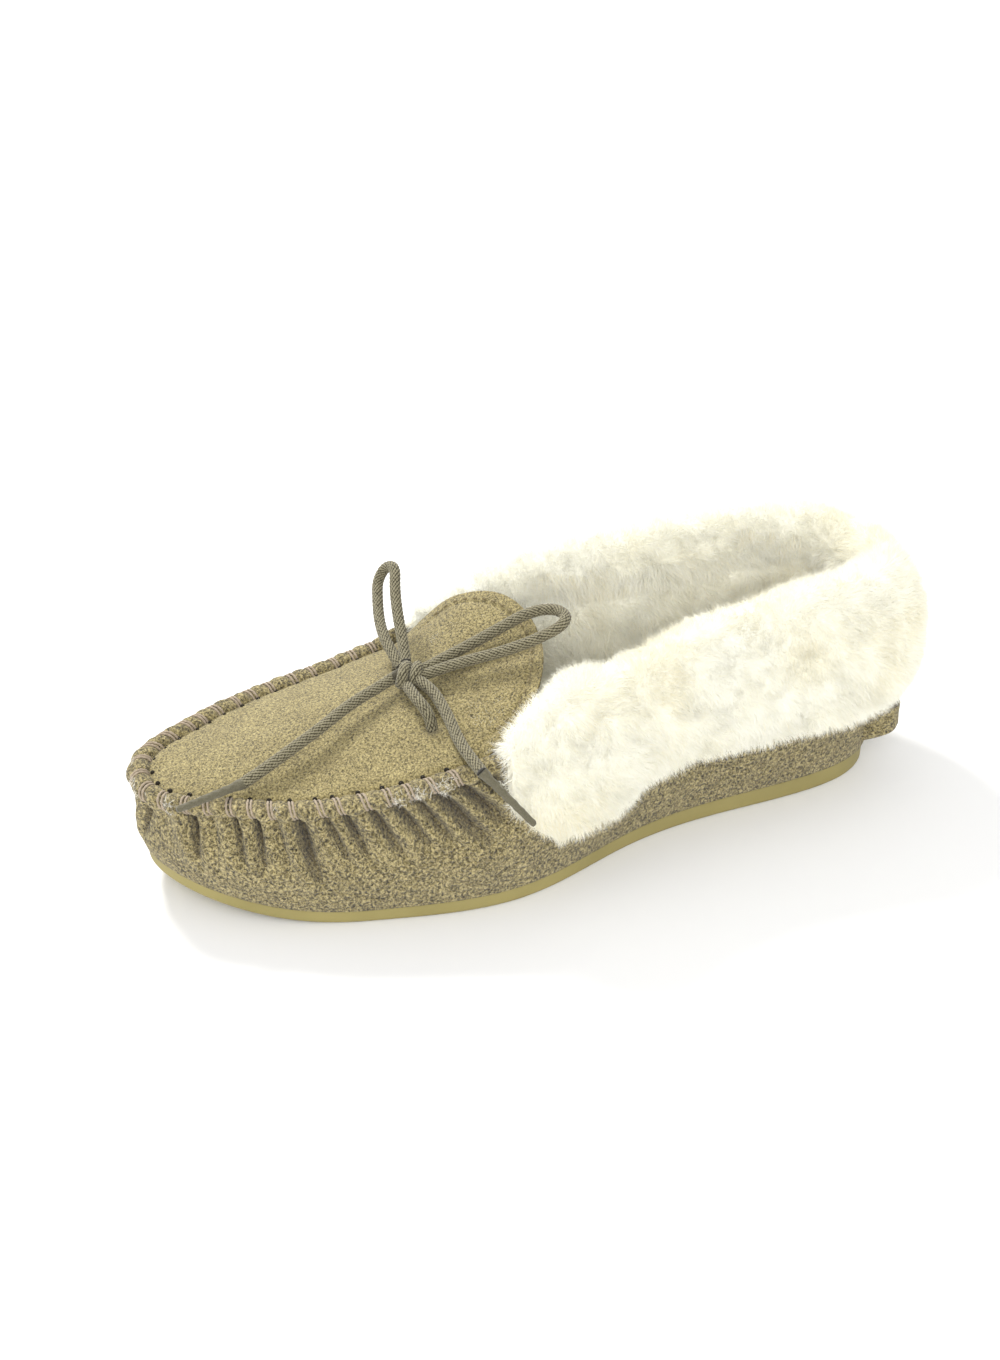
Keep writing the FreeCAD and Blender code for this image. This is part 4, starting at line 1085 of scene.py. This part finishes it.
def towards_foot(middle, faced):
    """Wool on the faces that look into the shoe."""
    squarely = beside_edge(middle, faced)[1]
    return np.where((squarely < -0.2) | (faced[:, 2] > 0.6), 1.0, 0.0)


def under_heel(middle, faced):
    """Wool on the insock's upper face, thinner where the apron covers it."""
    return np.where(faced[:, 2] > 0.3, np.where(middle[:, 1] > -40, 1.0, 0.15), 0.0)


def build_fleece():
    """The collar and the linings, each a soft base with wool grown over it."""
    collar = soft_copy("collar_cuff", "collar_fleece", shrink=1.2, voxel=1.3, seed=31)
    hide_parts("collar_cuff")
    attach(collar, "root")
    grow_wool("collar_wool", collar, 250000, 4.8, 41, "root", collar_outside, droop=0.12)
    grow_wool("collar_inner_wool", collar, 45000, 7.5, 44, "root", over_seam,
              droop=1.1, yellow=0.4)
    plan = (("quarter_lining", "root", 75000, 5.5, -0.6, towards_foot),
            ("insock", "root", 48000, 4.0, 1.3, under_heel),
            ("vamp_lining", "root", 16000, 4.0, 2.5, towards_foot),
            ("apron_lining", "root", 9000, 3.5, 1.5, everywhere),
            ("tongue_lining", "tongue_flap", 24000, 4.0, 1.5, everywhere))
    for index, (node, body, count, length, shrink, weigh) in enumerate(plan):
        base = soft_copy(node, node + "_fleece", shrink, voxel=1.6, seed=51 + index)
        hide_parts(node)
        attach(base, body)
        grow_wool(node + "_wool", base, count, length, 61 + 7 * index, body, weigh, yellow=0.5)


# ---------------- heel tab and small parts

TAB_SHARE = 0.035
TAB_HALF, TAB_REACH = 4.2, 8.7
TAB_RISE = 6.5
TAB_POINTS = 60
TAB_TOP_EDGE, TAB_BOTTOM_EDGE = 3, 8


def build_heel_tab():
    """The folded strip at the outer rear of the heel, standing out as a soft loop."""
    low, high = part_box("heel_tab")
    bottom, tall = low[2] / MM, (high[2] - low[2]) / MM
    side = [(TAB_HALF, -1.5), (TAB_HALF + 0.3, TAB_REACH * 0.45),
            (TAB_HALF * 0.75, TAB_REACH * 0.92)]
    plan = side + [(0, TAB_REACH + 0.1)] + [(-x, y) for x, y in side[::-1]]
    line = curve_through(np.array(plan), TAB_POINTS)
    along = unit(np.gradient(line, axis=0))
    outward = np.stack([along[:, 1], -along[:, 0]], -1)
    ring = np.array([(-0.8, 0.06), (-0.8, 0.5), (-0.8, 0.94), (-0.4, 1.0), (0.4, 1.0),
                     (0.8, 0.94), (0.8, 0.5), (0.8, 0.06), (0.4, 0.0), (-0.4, 0.0)])
    spot = line[:, None] + outward[:, None] * ring[None, :, :1]
    stand = wall_offset(np.array([TAB_SHARE]), np.array([bottom + tall / 2]))[0] + 0.3
    seat, normal = edge_at(TAB_SHARE)
    across = np.array([normal[1], -normal[0]])
    plan_spot = seat + across * spot[..., :1] + normal * (spot[..., 1:] + stand)
    rise = TAB_RISE * np.sin(np.pi * np.linspace(0, 1, TAB_POINTS))[:, None]
    height = bottom + rise + ring[None, :, 1] * (tall - 1.1 * rise)
    points = np.concatenate([plan_spot, height[..., None]], -1)
    points = points + (lumps(points, 5, 71) * 0.35)[..., None] * np.array([1, 1, 0.3])
    rows, columns = points.shape[:2]
    faces = grid_faces(rows, columns, close_columns=True)
    column = (faces % columns).min(-1)
    shades = np.where((column == TAB_TOP_EDGE) | (column == TAB_BOTTOM_EDGE), 1, 0)
    piece = new_piece("heel_tab_loop", points, faces, [SUEDE, SUEDE_EDGE], shades)
    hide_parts("heel_tab")
    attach(piece, "root")


# After which stitch each tuft of wool shows, its number of fibres and its spread.
TUFTS = ((1, 150, 2.2), (2, 130, 1.8), (3, 70, 1.6), (13, 90, 1.7), (15, 130, 2.2),
         (16, 50, 1.6), (25, 120, 2.2), (24, 60, 1.5), (8, 25, 1.2), (20, 40, 1.4),
         (28, 120, 2.2))


def build_tufts():
    """Bits of fleece that stand out through the toe seam."""
    dice = np.random.default_rng(83)
    spots = []
    for after, amount, spread in TUFTS:
        share = (STITCH_AT[after] + PITCH / 2 + dice.normal(0, spread, amount)) / EDGE_LENGTH
        profile = seam_profile(share, STRAND_POINTS)
        pick = dice.integers(1, 11, amount)
        section = profile[np.arange(amount), pick]
        spots.append(place(share, section[:, 0], section[:, 1]))
    where = np.vstack(spots)
    facing = unit(dice.normal(0, 0.8, where.shape) + np.array([0.2, -0.1, 0.9]))
    points, faces = fibres(where, facing, 3.0, 0.11, np.zeros(3), 1.1, 91, dice)
    piece = new_piece("seam_wool_tufts", points, faces, [TUFT])
    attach(piece, "root")


def dress_nodes():
    """CAD parts whose shape is right keep it and get their material."""
    for node, material in (("outsole", RUBBER), ("insole_board", BOARD), ("cushion_foam", FOAM),
                           ("tongue_topstitch", TOPSTITCH), ("heel_seam_stitches", THREAD),
                           ("collar_seam_stitches", THREAD)):
        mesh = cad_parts[node].data
        mesh.materials.clear()
        mesh.materials.append(material)


add_camera()
add_studio()
build_wrap()
build_apron()
build_lace()
build_whip_stitches()
build_fleece()
build_heel_tab()
build_tufts()
dress_nodes()
